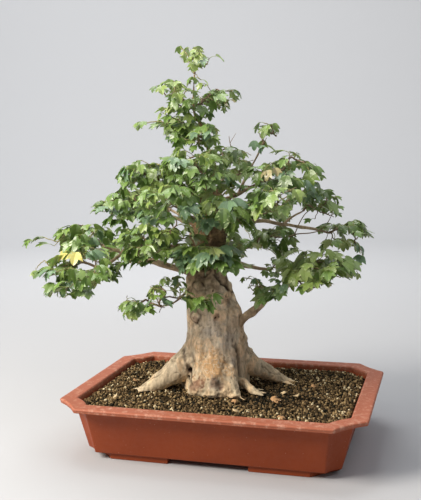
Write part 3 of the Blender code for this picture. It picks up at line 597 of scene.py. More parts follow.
def smooth_rows(rows, steps):
    """Rows of numbers joined by a smooth curve, with some steps to each stretch."""
    out = []
    for i in range(len(rows) - 1):
        four = (rows[max(i - 1, 0)], rows[i], rows[i + 1], rows[min(i + 2, len(rows) - 1)])
        out += [tuple(between(*numbers, k / steps) for numbers in zip(*four)) for k in range(steps)]
    return out + [rows[-1]]


def trunk_ring(up, right, away, half):
    """One ring of the stump, a little deeper in some places than in others."""
    ring = []
    for k in range(TRUNK_SIDES):
        angle = 2 * math.pi * k / TRUNK_SIDES
        waves = [deep * math.sin(count * angle + start + up * wind) for deep, count, start, wind in FLUTES]
        reach = half * sum(waves, 1)
        ring.append(tree_place(right + reach * math.cos(angle),
                               away + reach * TRUNK_DEPTH * math.sin(angle), up))
    return ring


def trunk_axis(height):
    """The middle of the trunk or of its leader at a height."""
    rows = smooth_rows(TRUNK[:-1] + LEADER[1:], AXIS_STEPS)
    nearest = min(rows, key=lambda row: abs(row[0] - height))
    return tree_place(nearest[1], nearest[2], height)


def root_path(row):
    """A root's path and radii: down and out from the trunk's middle, with a slight wander."""
    tip_right, tip_away, height, thick, thin = row
    path = []
    radii = []
    stout = thin > STOUT_END
    for k in range(ROOT_STEPS - 1 if stout else ROOT_STEPS + 1):
        t = k / ROOT_STEPS
        out = ROOT_START + (1 - ROOT_START) * t
        stray = noise.noise(Vector((tip_right, tip_away, t * 2.5)) * 9) * ROOT_WANDER * t
        point = tree_place(tip_right * out, tip_away * out, height * (1 - t) ** ROOT_DROP - ROOT_SUNK)
        across = Vector((tip_right, tip_away, 0)).normalized().cross(UP)
        path.append(point + (TO_RIGHT * across.x + AWAY * across.y) * stray)
        knobs = 1 + ROOT_KNOBS * noise.noise(Vector((tip_right * 50, t * 6, tip_away * 50)))
        radii.append((thin + (thick - thin) * (1 - t) ** ROOT_TAPER) * knobs)
    if stout:
        end = path[-1].copy()
        along = (path[-1] - path[-2]).normalized()
        last = radii[-1]
        path += [end + along * thin * far for far, _ in ROOT_DOME]
        radii += [last * share for _, share in ROOT_DOME]
    return path, radii


def rootlet_path(row):
    """A rootlet's path and radii: it creeps out over the ground and dives into it."""
    from_right, from_away, to_right, to_away, thick = row
    path = []
    for k in range(ROOTLET_STEPS + 1):
        t = k / ROOTLET_STEPS
        stray = noise.noise(Vector((from_right * 90, t * 3, to_away * 90))) * ROOTLET_WANDER_MM * MM * t
        up = thick * (ROOTLET_RISE - ROOTLET_DROP * t)
        path.append(tree_place(from_right + (to_right - from_right) * t + stray,
                               from_away + (to_away - from_away) * t - stray, up))
    return path, [thick * (1 - ROOTLET_TAPER * k / ROOTLET_STEPS) for k in range(ROOTLET_STEPS + 1)]


print("roots", len(ROOTS), "rootlets", len(ROOTLETS), "trunk rings", len(smooth_rows(TRUNK, 4)))

# %% [markdown]
# ## The limbs
# A bough starts inside the trunk, runs out in a shallow arch and ends inside its mass of foliage.
# Maple boughs are knobbly: each old pair of buds leaves a swelling and a slight change of direction.
# A curve object with a bevel would be too smooth for that, so each bough is a list of points and
# radii, whose path wanders and whose thickness pulses. The rows are those of the solid limbs.

# %% Limbs
# Each row: the mass's name, what bears its limb, the height or the share where the limb leaves, the
# mass's centre (right, away, up), its half width, the limb's half thickness and its lift
MASSES = (
    ("low_right", "trunk", 0.06, (0.159, -0.05, 0.195), 0.06, 0.0085, 0.014),
    ("elbow_right", "low_right", 0.5, (0.067, 0.014, 0.156), 0.036, 0.0022, 0),
    ("inner_right", "trunk", 0.222, (0.113, -0.01, 0.19), 0.042, 0.0052, -0.014),
    ("tip_right", "trunk", 0.266, (0.209, 0.026, 0.233), 0.052, 0.0042, 0.008),
    ("shoulder_right", "tip_right", 0.62, (0.168, 0.01, 0.29), 0.052, 0.0024, 0.002),
    ("mid_right", "trunk", 0.2, (0.096, 0.066, 0.224), 0.052, 0.0038, 0),
    ("crown_right", "trunk", 0.285, (0.109, -0.02, 0.336), 0.06, 0.0042, 0.004),
    ("spire_right", "crown_right", 0.5, (0.086, 0.004, 0.396), 0.036, 0.0022, 0),
    ("outer_left", "trunk", 0.178, (-0.204, 0.014, 0.236), 0.053, 0.0065, -0.003),
    ("low_left", "outer_left", 0.8, (-0.203, -0.052, 0.189), 0.062, 0.003, -0.004),
    ("shoulder_left", "trunk", 0.255, (-0.145, 0.034, 0.286), 0.058, 0.0044, 0),
    ("crown_left", "trunk", 0.288, (-0.096, -0.014, 0.337), 0.06, 0.0042, 0.003),
    ("mid_left", "trunk", 0.212, (-0.088, -0.058, 0.239), 0.06, 0.0036, 0),
    ("sprig_left", "trunk", 0.204, (-0.102, -0.072, 0.153), 0.053, 0.0024, -0.034),
    ("back_low", "trunk", 0.185, (0.026, 0.152, 0.214), 0.06, 0.0052, 0),
    ("back_low_left", "trunk", 0.195, (-0.14, 0.116, 0.212), 0.058, 0.0046, 0.003),
    ("back_left", "trunk", 0.24, (-0.094, 0.126, 0.286), 0.062, 0.0046, 0.002),
    ("back_right", "trunk", 0.235, (0.108, 0.124, 0.277), 0.064, 0.0046, 0.002),
    ("crown_back", "trunk", 0.292, (0.03, 0.088, 0.347), 0.062, 0.004, 0.004),
    ("front_left", "trunk", 0.25, (-0.062, -0.112, 0.3), 0.053, 0.0036, 0.003),
    ("front_right", "trunk", 0.268, (0.088, -0.098, 0.3), 0.052, 0.0036, 0.003),
    ("crown_front", "trunk", 0.298, (-0.022, -0.08, 0.351), 0.058, 0.0036, 0.004),
    ("breast", "trunk", 0.262, (0.021, -0.092, 0.284), 0.051, 0.0026, 0),
    ("throat", "trunk", 0.195, (-0.004, -0.084, 0.214), 0.047, 0.0026, 0),
    ("apex", "trunk", 0.49, (-0.021, 0, 0.511), 0.045, 0, 0),
    ("top_left", "trunk", 0.436, (-0.057, -0.012, 0.46), 0.046, 0, 0),
    ("top_right", "trunk", 0.442, (0.009, 0.014, 0.454), 0.046, 0, 0),
    ("neck_left", "trunk", 0.392, (-0.052, 0.016, 0.406), 0.05, 0.0018, 0),
    ("neck_right", "trunk", 0.392, (-0.003, -0.032, 0.398), 0.04, 0, 0),
    ("trunk_sprout", "trunk", 0.136, (-0.017, -0.066, 0.15), 0.022, 0, 0),
)
# Shoots that reach out of a mass to the crown's furthest tips
REACH = {
    "apex": (-0.002, 0, 0.513), "top_left": (-0.08, -0.012, 0.472),
    "top_right": (0.036, 0.01, 0.463), "neck_left": (-0.1, 0.01, 0.417),
    "outer_left": (-0.266, 0.012, 0.24), "low_left": (-0.244, -0.052, 0.19),
    "tip_right": (0.237, 0.03, 0.238), "low_right": (0.198, -0.06, 0.172),
    "sprig_left": (-0.13, -0.074, 0.148), "spire_right": (0.092, 0, 0.41),
    "crown_left": (-0.128, -0.014, 0.32), "crown_right": (0.154, -0.02, 0.322),
}
FLATTENING = 0.76
CELL_MARGIN = 0.6 * MM
ENTRY = 0.62  # a limb ends this far out in its mass, as a share of the way to the mass's outline
ROUTE_FIRST, ROUTE_STEPS = 10, 60
LIMB_STEPS = 18
LIMB_SIDES = 14
LIMB_TAPER = 0.42
LIMB_WANDER = 2.6 * MM
LIMB_BEND_MM = 26
LIMB_KNOB_MM = 17
SEED = 1953
LIMB_FATTER, LIMB_KNOBS = 1.03, 0.32
TIP_NEAR = 30 * MM  # a mass as near to its stem's start as this grows straight up


class Mass:
    """One mass of foliage: its own space, its limb and the place where its stem starts."""

    def __init__(self, row):
        self.name, self.parent, self.along, centre, self.half, self.thick, self.lift = row
        self.centre = tree_place(*centre)
        self.path = []
        self.radii = []

    def reach_share(self, point):
        """How far out a point is: 0 at the centre and 1 on the mass's outline."""
        off = point - self.centre
        return Vector((off.x, off.y, off.z / FLATTENING)).length / self.half

    def inside(self, point, masses, margin):
        """Whether a point is on this mass's side of the plane between it and every other mass."""
        own = (self.reach_share(point) ** 2 - 1) * self.half**2
        for other in masses:
            if other is self:
                continue
            theirs = (other.reach_share(point) ** 2 - 1) * other.half**2
            apart = other.centre - self.centre
            span = Vector((apart.x, apart.y, apart.z / FLATTENING)).length
            if (theirs - own) / (2 * span) < margin:
                return False
        return True


def arch(start, goal, lift, share):
    """A point on the curve from start to goal whose middle is lifted."""
    middle = (start + goal) / 2 + UP * 2 * lift
    return start.lerp(middle, share).lerp(middle.lerp(goal, share), share)


def limb_start(mass, by_name):
    """Where a limb leaves the trunk, or the limb that bears it."""
    if mass.parent == "trunk":
        return trunk_axis(mass.along)
    path = by_name[mass.parent].path
    place = mass.along * (len(path) - 1)
    low = min(int(place), len(path) - 2)
    return path[low].lerp(path[low + 1], place - low)


def route_limb(mass, by_name, masses):
    """The limb's wandering path to where it enters its mass, and its thickness on the way."""
    start = limb_start(mass, by_name)
    end = 1.0
    for k in range(ROUTE_FIRST, ROUTE_STEPS + 1):
        point = arch(start, mass.centre, mass.lift, k / ROUTE_STEPS)
        if mass.reach_share(point) < ENTRY and mass.inside(point, masses, CELL_MARGIN):
            end = k / ROUTE_STEPS
            break
    length = (mass.centre - start).length * end
    for k in range(LIMB_STEPS + 1):
        t = k / LIMB_STEPS
        point = arch(start, mass.centre, mass.lift, end * t)
        seed = Vector((mass.along * 40, mass.half * 300, 0))
        stray = noise.noise_vector(seed + UP * t * length / (LIMB_BEND_MM * MM))
        mass.path.append(point + stray * LIMB_WANDER * math.sin(math.pi * t))
        knob = noise.noise(seed * 3 + UP * t * length / (LIMB_KNOB_MM * MM))
        thick = mass.thick * (1 + (LIMB_TAPER - 1) * t)
        mass.radii.append(thick * (LIMB_FATTER + LIMB_KNOBS * knob))
    mass.heading = (mass.path[-1] - mass.path[-2]).normalized()
    mass.seat = mass.path[-1]


def seat_on_leader(mass):
    """A mass with no limb grows straight out of the trunk or its leader."""
    start = trunk_axis(mass.along)
    ahead = mass.centre - start
    if ahead.length < TIP_NEAR and ahead.z > 0:
        ahead = UP.copy()
    mass.heading = ahead.normalized()
    mass.seat = start


noise.seed_set(SEED)  # noise_vector would otherwise start from the clock, and no two runs be alike
masses = [Mass(row) for row in MASSES]
by_name = {mass.name: mass for mass in masses}
for mass in masses:
    if mass.thick:
        route_limb(mass, by_name, masses)
    else:
        seat_on_leader(mass)
print("limbs", sum(1 for mass in masses if mass.thick), "masses", len(masses))

# %% [markdown]
# Where a bough leaves the trunk, the wood swells into a collar. Now all the parts are there, and the
# remesh can melt them. A light smoothing takes away the stairs that the voxels leave.

# %% Trunk skin
COLLAR_REACH = 54 * MM
COLLAR_THIN, COLLAR_SWELL = 0.80, 1.25
RING_STEPS = 4
LEADER_SIDES, ROOT_SIDES, ROOTLET_SIDES, COLLAR_SIDES = 16, 18, 8, 14
VOXEL = 1.35 * MM
SMOOTH_SHARE, SMOOTH_ROUNDS = 0.5, 4


def collar(mass):
    """A swelling that flows from the trunk out along the start of a bough."""
    path = []
    radii = []
    for point, radius in zip(mass.path, mass.radii):
        out = (point - mass.path[0]).length
        share = out / COLLAR_REACH
        if share > 1:
            break
        path.append(point)
        radii.append(radius * (COLLAR_THIN + COLLAR_SWELL * (1 - share) ** 1.5))
    return path, radii


def trunk_skin():
    """The trunk, leader, roots and collars melted into one closed skin."""
    parts = Heap()
    rings = [trunk_ring(*row) for row in smooth_rows(TRUNK, RING_STEPS)]
    parts.add([p for ring in rings for p in ring], loop_faces(len(rings), TRUNK_SIDES))
    rows = smooth_rows(LEADER, RING_STEPS)
    path = [tree_place(right, away, up) for up, right, away, _ in rows]
    parts.add_tube(path, [row[3] for row in rows], LEADER_SIDES)
    for row in ROOTS + WEBS:
        parts.add_tube(*root_path(row), ROOT_SIDES)
    for row in ROOTLETS:
        parts.add_tube(*rootlet_path(row), ROOTLET_SIDES)
    for mass in masses:
        if mass.thick and mass.parent == "trunk":
            path, radii = collar(mass)
            if len(path) > 2:
                parts.add_tube(path, radii, COLLAR_SIDES)
    skin = parts.piece("trunk_bark", [])
    face_out(skin)
    remesh = skin.modifiers.new("melt", "REMESH")
    remesh.mode = "VOXEL"
    remesh.voxel_size = VOXEL
    smooth = skin.modifiers.new("soften", "SMOOTH")
    smooth.factor = SMOOTH_SHARE
    smooth.iterations = SMOOTH_ROUNDS
    return evaluated(skin)


trunk_piece = trunk_skin()
trunk_shape = BVHTree.FromObject(trunk_piece, bpy.context.evaluated_depsgraph_get())
print("trunk skin", len(trunk_piece.data.vertices), "points")

# %% [markdown]
# ## The bark's relief
# Young trident maple bark is smooth and pale; old bark goes brown and comes off in plates, which
# leaves warm patches. So the relief has several sizes at once: slow swellings, ridges that run up
# and down, the steps of lifted plates, and, high up where the wood is oldest, cross wrinkles. The
# scars, knots and creases that the photograph shows are placed by their pixels. All of it moves the
# points of the mesh, because bump in a material wouldn't show at the outline.

# %% Marks on the bark
# Each row: across and down in the photograph, then in mm: radius, height of its rim, depth inside
SCARS = (
    (203, 268.5, 6.5, 2.4, 4.5), (209, 257, 6, 2, 4), (190.5, 371, 5.5, 1, 7.5),
    (194.6, 318, 2.6, 0.4, 2.6), (214.6, 317.6, 2.9, 0.9, 4.2), (217.8, 317.2, 2.9, 0.9, 4.2),
    (222, 303, 3.5, 1, 1.5), (213, 291, 3, 1.2, 2), (205, 350, 2, 0.3, 1.5), (219, 383, 9, -1, 2),
    (226, 296, 3, 1, 2), (189, 378, 4, 0.5, 4), (220, 270, 4, 1.5, 3), (236, 352, 4, 1, 2),
    (196, 298, 2.5, 0.8, 1.2),
)
# Each row: across, down, then the radius and the height of a swelling in mm
KNOTS = (
    (195.6, 316.5, 6.5, 4.6), (198, 286, 6, 3.4), (206.5, 263.5, 7.5, 3.2), (200, 274, 6, 2),
    (230, 285, 9, 4.2), (234, 297, 7, 2.6), (187.5, 362, 9, 2.6), (193.5, 366, 5, 2.2), (242, 321, 9, 2.4),
    (246, 338, 7, 2.8), (251, 348, 7, 2.6), (216, 284, 6, 1.6), (236, 312, 6, 1.8), (186, 296, 7, 1.6),
    (208, 281, 5, 1.4), (247, 357, 6, 1.8), (224, 262, 6, 2), (184.5, 281, 6, 1.8), (232, 366, 6, 1.6),
    (215, 311, 5, 0.9),
)
# Each row: depth and width in mm, then pixels along the crease
CREASES = (
    (3, 3, ((183, 350), (186, 360), (190, 371), (191, 384))),
    (2.6, 3.4, ((236, 346), (238, 358), (240, 374), (241, 388))),
    (3.6, 2.6, ((214, 268), (217, 276), (222, 284), (228, 289))),
    (3, 2.4, ((205, 258), (208, 264), (209, 269))),
    (1.8, 1.7, ((196, 267), (197, 274), (203, 277), (210, 274), (211, 268))),
    (-1.6, 1.7, ((194, 262), (196, 272), (191, 284), (187, 294))),
    (1.2, 1.4, ((198, 270), (194, 282), (191, 292))),
    (1, 2.6, ((229, 300), (229, 312), (227, 330), (228, 350))),
    (1.4, 1.4, ((201, 283), (206, 288), (204, 296))),
    (1.6, 1.4, ((139, 387), (150, 380), (161, 373))),
    (1.2, 1.3, ((146, 378), (158, 366), (172, 354))),
    (1, 1.6, ((207, 352), (204, 358), (199, 362), (201, 372), (206, 380))),
    (1, 1.4, ((213, 356), (219, 352), (226, 358), (222, 370), (228, 378))),
    (1, 1.6, ((196, 300), (208, 305), (219, 303), (230, 299))),
    (1.6, 1.5, ((243, 338), (249, 342), (247, 350), (252, 354))),
    (1.4, 1.4, ((236, 330), (233, 342), (236, 354))), (1.2, 1.3, ((197, 323), (203, 326), (201, 334))),
    (1.5, 1.3, ((188, 322), (193, 325), (199, 321))), (1.3, 1.2, ((204, 380), (212, 378), (220, 381))),
    (1.4, 1.4, ((262, 366), (272, 374), (284, 380))),
)
# Each row: across, down, radius in mm and how strong the warm patch is
WARM_PATCHES = ((212, 366, 26, 0.9), (216, 372, 12, 0.6), (194, 384, 10, 0.5), (228, 372, 10, 0.5),
                (206, 262, 12, 0.3), (232, 312, 10, 0.3))
GREY_PATCHES = ((228, 342, 14, 0.5), (213, 328, 14, 0.35), (215, 384, 11, 0.6), (233, 362, 8, 0.5),
                (206, 333, 10, 0.3), (195, 385, 8, 0.4))
RUSTY_PATCHES = ((194, 386, 12, 0.8), (201, 382, 8, 0.6), (190, 371, 8, 0.5), (215, 384, 8, 0.6),
                 (226, 299, 8, 0.5), (203, 262, 9, 0.4), (221, 386, 5, 0.5),
                 (196, 319, 5, 0.5), (216, 317, 5, 0.7), (201, 284, 5, 0.4), (224, 281, 8, 0.4))


def on_trunk(across, down):
    """Where the trunk shows at a pixel of the photograph."""
    hit = trunk_shape.ray_cast(CAMERA_PLACE, pixel_ray(across, down))[0]
    if hit is None:
        beside = CAMERA_PLACE + pixel_ray(across, down) * (FOOT - CAMERA_PLACE).length
        hit = trunk_shape.find_nearest(beside)[0]
    return np.array(hit)


print("scars", len(SCARS), "knots", len(KNOTS), "creases", len(CREASES))

# %% [markdown]
# The relief is worked out for all the points at once, as a few fields of numbers. A field of smooth
# noise, stretched by another size along each axis, gives ridges, wrinkles or plates.

# %% Fields over the bark
# Sizes in mm across, across and up
SWELL_MM, RIDGE_MM, GRAIN_MM, PLATE_MM = (24, 24, 24), (9, 9, 55), (3.6, 3.6, 9), (15, 15, 24)
PIT_MM, WRINKLE_MM, ROUGH_MM, TEAR_MM = (5, 5, 4), (18, 18, 5.5), (4.5, 4.5, 4.5), (5.5, 5.5, 5.5)


def numbers_of(vectors, name, count):
    """A mesh's vectors as rows of three numbers."""
    out = np.empty(count * 3)
    vectors.foreach_get(name, out)
    return out.reshape(count, 3)


def smoothstep(low, high, value):
    """0 up to the low value and 1 from the high value on, with a soft step between them."""
    share = np.clip((value - low) / (high - low), 0, 1)
    return share * share * (3 - 2 * share)


def noise_field(points, size, offset):
    """Smooth noise between -1 and 1 at each point, stretched by a size in mm for each axis."""
    places = points / (np.array(size) * MM) + offset
    return np.array([noise.noise(Vector(place)) for place in places])


def near_line(points, line):
    """The distance of each point from a line through some places."""
    best = np.full(len(points), 1e9)
    for a, b in zip(line[:-1], line[1:]):
        run = b - a
        share = np.clip((points - a) @ run / (run @ run), 0, 1)
        best = np.minimum(best, np.linalg.norm(points - a - share[:, None] * run, axis=1))
    return best


def bark_height(points, old):
    """The height of the bark's swellings and of its finer relief, and the share of lifted plates."""
    swell = noise_field(points, SWELL_MM, 0.0) * 1.5 * MM
    ridge = noise_field(points, RIDGE_MM, 7.0) * 1.1 * MM
    grain = noise_field(points, GRAIN_MM, 3.0) * 0.50 * MM
    grain -= smoothstep(0.30, 0.50, noise_field(points, PIT_MM, 17.0)) * 0.9 * MM
    plate = noise_field(points, PLATE_MM, 11.0)
    lifted = smoothstep(0.10, 0.17, plate) * 0.55 * MM
    crossing = np.abs(noise_field(points, WRINKLE_MM, 5.0))
    rough = noise_field(points, ROUGH_MM, 9.0) * 1.0 * MM
    wrinkle = -smoothstep(0.16, 0.0, crossing) * 1.5 * MM
    return swell, ridge + grain + lifted + old * (wrinkle + rough), plate


print("relief from", min(GRAIN_MM), "to", max(RIDGE_MM), "mm in size")

# %% [markdown]
# Each mark is then a smooth bump or dent round its place, whose edge strays a little. How much
# painted shade lies in a point's hollows and creases, and how warm, grey, rusty or old the point is,
# goes along with the mesh as a number, which the bark's colours read; so does how far the finer relief
# stands out, which they turn into painted highlights on its crests and painted shade in its troughs.
# Last, the trunk is cut flat at the ground, as the solid one is.

# %% Bark relief
OLD_FROM, OLD_TO = 0.130, 0.235  # heights between which the bark turns old and rough, and takes the old bark's colours with their painted shade
THIN_FROM, THIN_TO = 0.29, 0.33  # heights between which the stump ends and the thin leader starts
CREASE_STRAY = 3.2 * MM
RAGGED_AT = (-0.004, -0.062, 0.004)  # the torn end of the stout front root
RAGGED_REACH = 52 * MM
CREST_RISE = 1.5 * MM  # how far the finer relief stands out where the bark gets its palest painted highlight


def far_from(points, across, down, radius):
    """How far each point is from the place that shows at a pixel, in radii of the mark there."""
    return np.linalg.norm(points - on_trunk(across, down), axis=1) / (radius * MM)


def carve_marks(strayed, rise, hollow):
    """Adds the knots and the scars to the relief, and the painted shade in their hollows."""
    for across, down, radius, height in KNOTS:
        far = far_from(strayed, across, down, radius)
        rise += height * MM * np.exp(-((far / 0.8) ** 2))
        hollow += 0.15 * height * np.exp(-(((far - 1.35) / 0.28) ** 2))
    for across, down, radius, rim, depth in SCARS:
        far = far_from(strayed, across, down, radius)
        rise += rim * MM * np.exp(-(((far - 0.9) / 0.45) ** 2)) - depth * MM * np.exp(-((far / 0.55) ** 2))
        hollow += min(depth / 3, 1.2) * np.exp(-((far / 0.6) ** 2))


def carve_creases(points, strayed, rise, hollow):
    """Cuts the creases, each of an uneven width, with painted shade in them."""
    wobble = 1 + 0.5 * noise_field(points, (8, 8, 8), 21.0)
    for depth, wide, pixels in CREASES:
        line = [on_trunk(*pixel) for pixel in pixels]
        cut = np.exp(-((near_line(strayed, line) / (wide * MM * wobble)) ** 2))
        rise -= depth * MM * cut
        hollow += 0.20 * depth * cut


def tear_root(points, up, rise, hollow):
    """Roughens the torn end of the stout front root, with painted shade in its low spots."""
    away = np.linalg.norm(points - np.array(tree_place(*RAGGED_AT)), axis=1)
    ragged = smoothstep(RAGGED_REACH, 0.5 * RAGGED_REACH, away)
    tear = noise_field(points, TEAR_MM, 61.0)
    rise += ragged * smoothstep(24 * MM, 4 * MM, up) * (tear * 1.8 - 0.4) * MM
    hollow += 0.30 * ragged * smoothstep(12 * MM, 2 * MM, up) * smoothstep(0.05, -0.25, tear)


def patch_field(points, patches, edge):
    """How strong a colour's patches are at each point."""
    field = np.zeros(len(points))
    for across, down, radius, strength in patches:
        field += strength * smoothstep(1.3, 0.5, far_from(points, across, down, radius) * edge)
    return field


def carve_trunk(piece):
    """Moves the trunk's points by the relief and leaves the numbers for the colours."""
    mesh = piece.data
    count = len(mesh.vertices)
    points = numbers_of(mesh.vertices, "co", count)
    normals = numbers_of(mesh.vertex_normals, "vector", count)
    up = points[:, 2] - GROUND
    old = smoothstep(OLD_FROM, OLD_TO, up + noise_field(points, (30, 30, 30), 2.0) * 0.03)
    swell, rise, plate = bark_height(points, old)
    rise *= 1 - 0.75 * smoothstep(THIN_FROM, THIN_TO, up)
    hollow = np.zeros(count)
    stray = np.stack([noise_field(points, (7, 7, 7), 40.0 + 10 * axis) for axis in range(3)], axis=1)
    strayed = points + stray * CREASE_STRAY
    carve_marks(strayed, rise, hollow)
    tear_root(points, up, rise, hollow)
    carve_creases(points, strayed, rise, hollow)
    edge = (1 + 0.6 * noise_field(points, (9, 9, 14), 31.0)
            + 0.5 * noise_field(points, (3.5, 3.5, 3.5), 33.0))
    fields = {"hollow": hollow, "old": old, "plate": plate, "crest": rise / CREST_RISE}
    for name, patches in (("warm", WARM_PATCHES), ("grey", GREY_PATCHES), ("rusty", RUSTY_PATCHES)):
        fields[name] = patch_field(points, patches, edge)
    mesh.vertices.foreach_set("co", (points + normals * (rise + swell)[:, None]).ravel())
    for name, values in fields.items():
        field = mesh.attributes.new(name, "FLOAT", "POINT")
        field.data.foreach_set("value", np.clip(values, -1, 1).astype(np.float32))


def cut_at_ground(piece):
    """Ends the trunk flat at the ground and closes the cut."""
    shape = bmesh.new()
    shape.from_mesh(piece.data)
    everything = shape.verts[:] + shape.edges[:] + shape.faces[:]
    cut = bmesh.ops.bisect_plane(shape, geom=everything, plane_co=Vector((0, 0, GROUND)), plane_no=UP,
                                 clear_inner=True)
    rim = [item for item in cut["geom_cut"] if isinstance(item, bmesh.types.BMEdge)]
    bmesh.ops.holes_fill(shape, edges=rim)
    shape.to_mesh(piece.data)
    shape.free()


carve_trunk(trunk_piece)
cut_at_ground(trunk_piece)
trunk_piece.data.polygons.foreach_set("use_smooth", [True] * len(trunk_piece.data.polygons))
trunk_shape = BVHTree.FromObject(trunk_piece, bpy.context.evaluated_depsgraph_get())
print("trunk", triangles(trunk_piece), "triangles")

# %% [markdown]
# ## Bark colours
# Clean trident maple bark is a pale grey brown, creamier on the roots that the watering keeps washed,
# and orange where a plate has come off. Where it is old it is dark brown, painted darker still as
# painted shade under the crown. Its hollows and creases get painted shade, and its finer relief gets
# painted highlights on the crests and painted shade in the troughs. Each colour is laid over the last
# one, by height, by noise or by the numbers that the relief left. So no picture has to be unwrapped
# round every root.

# %% Bark
BARK = "#CDB698"
BARK_LIGHT = "#E2D1B6"
BARK_ROOT = "#D3BF9E"
BARK_WARM = "#DBB07F"
BARK_CRACK = "#EADABD"
BARK_GREY = "#AFA69B"
BARK_RUSTY = "#8C6A52"
# Old bark's browns, also darkened as painted shade where the crown shades the upper trunk and the boughs
BARK_OLD_SHADED = "#AD9068"
BARK_OLD_SHADED_DARK = "#715B42"
# Painted shade for the bark's hollows, creases, scars and the torn root's low spots
BARK_HOLLOW_SHADE = "#4A3626"
BARK_STREAK_MM = 4
BARK_CLOUD_MM = 16
BARK_CRACK_MM = 9
BARK_FINE_MM = 1.6
OLD_SHARE = 0.60  # how much of the old bark's colour, with its painted shade, the boughs have
MARKS = ("plate", "warm", "grey", "rusty", "old", "hollow", "crest")


def make_bark(name, all_old):
    """Bark that reads the relief's numbers, or all of it old, for the boughs."""
    made = new_material(name, BARK, 0.80, Specular_IOR_Level=0.28)
    tree, shader, place = patterned(made)
    height = add(tree, "SeparateXYZ", {0: place}).outputs["Z"]
    cloud = add(tree, "TexNoise", {"Vector": place, "Scale": per_mm(BARK_CLOUD_MM), "Detail": 5.0,
                                   "Roughness": 0.62})
    light = add(tree, "MapRange", {0: cloud.outputs["Fac"], 1: 0.40, 2: 0.66})
    base = add(tree, "Mix", {0: light.outputs[0], 6: colour(BARK), 7: colour(BARK_LIGHT)},
               data_type="RGBA")
    low = add(tree, "MapRange", {0: height, 1: GROUND + 75 * MM, 2: GROUND + 8 * MM})
    mark = {mark: add(tree, "Attribute", {}, attribute_name=mark).outputs["Fac"] for mark in MARKS}
    flaked = add(tree, "MapRange", {0: mark["plate"], 1: 0.13, 2: 0.22, 4: 0.30})
    mottled = add(tree, "TexNoise", {"Vector": place, "Scale": per_mm(BARK_CRACK_MM), "Detail": 3.0})
    off_line = add(tree, "Math", {0: mottled.outputs["Fac"], 1: 0.5}, operation="SUBTRACT")
    near_crack = add(tree, "Math", {0: off_line.outputs[0]}, operation="ABSOLUTE")
    cracked = add(tree, "MapRange", {0: near_crack.outputs[0], 1: 0.045, 2: 0.005, 4: 0.75})
    patch = add(tree, "Mix", {0: cracked.outputs[0], 6: colour(BARK_WARM), 7: colour(BARK_CRACK)},
                data_type="RGBA")
    dark = add(tree, "Mix", {0: light.outputs[0], 6: colour(BARK_OLD_SHADED_DARK), 7: colour(BARK_OLD_SHADED)},
               data_type="RGBA")
    layers = (
        (low.outputs[0], colour(BARK_ROOT)),
        (flaked.outputs[0], colour(BARK_WARM)),
        (mark["warm"], patch.outputs[2]),
        (mark["grey"], colour(BARK_GREY)),
        (mark["rusty"], colour(BARK_RUSTY)),
        (OLD_SHARE if all_old else mark["old"], dark.outputs[2]),
        (mark["hollow"], colour(BARK_HOLLOW_SHADE)),
    )
    tone = base.outputs[2]
    for share, over in layers:
        tone = add(tree, "Mix", {0: share, 6: tone, 7: over}, data_type="RGBA").outputs[2]
    upright = add(tree, "Mapping", {"Vector": place, "Scale": (1.0, 1.0, 0.30)})
    lines = add(tree, "TexNoise", {"Vector": upright.outputs[0], "Scale": per_mm(BARK_STREAK_MM),
                                   "Detail": 6.0, "Roughness": 0.66})
    shade = add(tree, "MapRange", {0: lines.outputs["Fac"], 1: 0.32, 2: 0.66, 3: 0.68, 4: 1.18})
    # Painted highlight on the relief's crests and painted shade in its troughs
    crest_light_shade = add(tree, "MapRange", {0: mark["crest"], 1: -1.0, 2: 1.0, 3: 0.58, 4: 1.34})
    both = add(tree, "Math", {0: shade.outputs[0], 1: crest_light_shade.outputs[0]}, operation="MULTIPLY")
    toned = add(tree, "VectorMath", {0: tone, 1: both.outputs[0]}, operation="MULTIPLY")
    tree.links.new(toned.outputs[0], shader.inputs["Base Color"])
    grain = {"Vector": upright.outputs[0], "Scale": per_mm(BARK_FINE_MM), "Detail": 6.0}
    fine = add(tree, "TexNoise", grain)
    bump = add(tree, "Bump", {"Height": fine.outputs["Fac"], "Strength": 0.5, "Distance": 0.5 * MM})
    tree.links.new(bump.outputs["Normal"], shader.inputs["Normal"])
    return made


trunk_bark = make_bark("maple_bark", all_old=False)
bough_bark = make_bark("old_maple_bark", all_old=True)
trunk_piece.data.materials.append(trunk_bark)
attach(trunk_piece, "root")
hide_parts("trunk")
print("bark on", trunk_piece.name)

# %% [markdown]
# ## The boughs
# The boughs carry the old bark. Their relief is smaller than the trunk's, so no remesh is needed:
# each point of a bough's rings is pushed out or in by noise of two sizes.

# %% Boughs
FINE_BUMP_MM, FINE_BUMP = 5, 0.20  # the bumps' size, and their height as a share of the bough's radius
SLOW_BUMP_MM, SLOW_BUMP = 11, 0.16


def limb_rings(mass):
    """The bough's rings with the bark's bumps on them, and how far each point stands out."""
    rings = rings_along(mass.path, mass.radii, LIMB_SIDES)
    crests = []
    for centre, ring, radius in zip(mass.path, rings, mass.radii):
        for i, point in enumerate(ring):
            out = (point - centre).normalized()
            bump = noise.noise(point / (FINE_BUMP_MM * MM)) * FINE_BUMP
            bump += noise.noise(point / (SLOW_BUMP_MM * MM)) * SLOW_BUMP
            ring[i] = point + out * radius * bump
            crests.append(bump / FINE_BUMP)
    return rings, crests


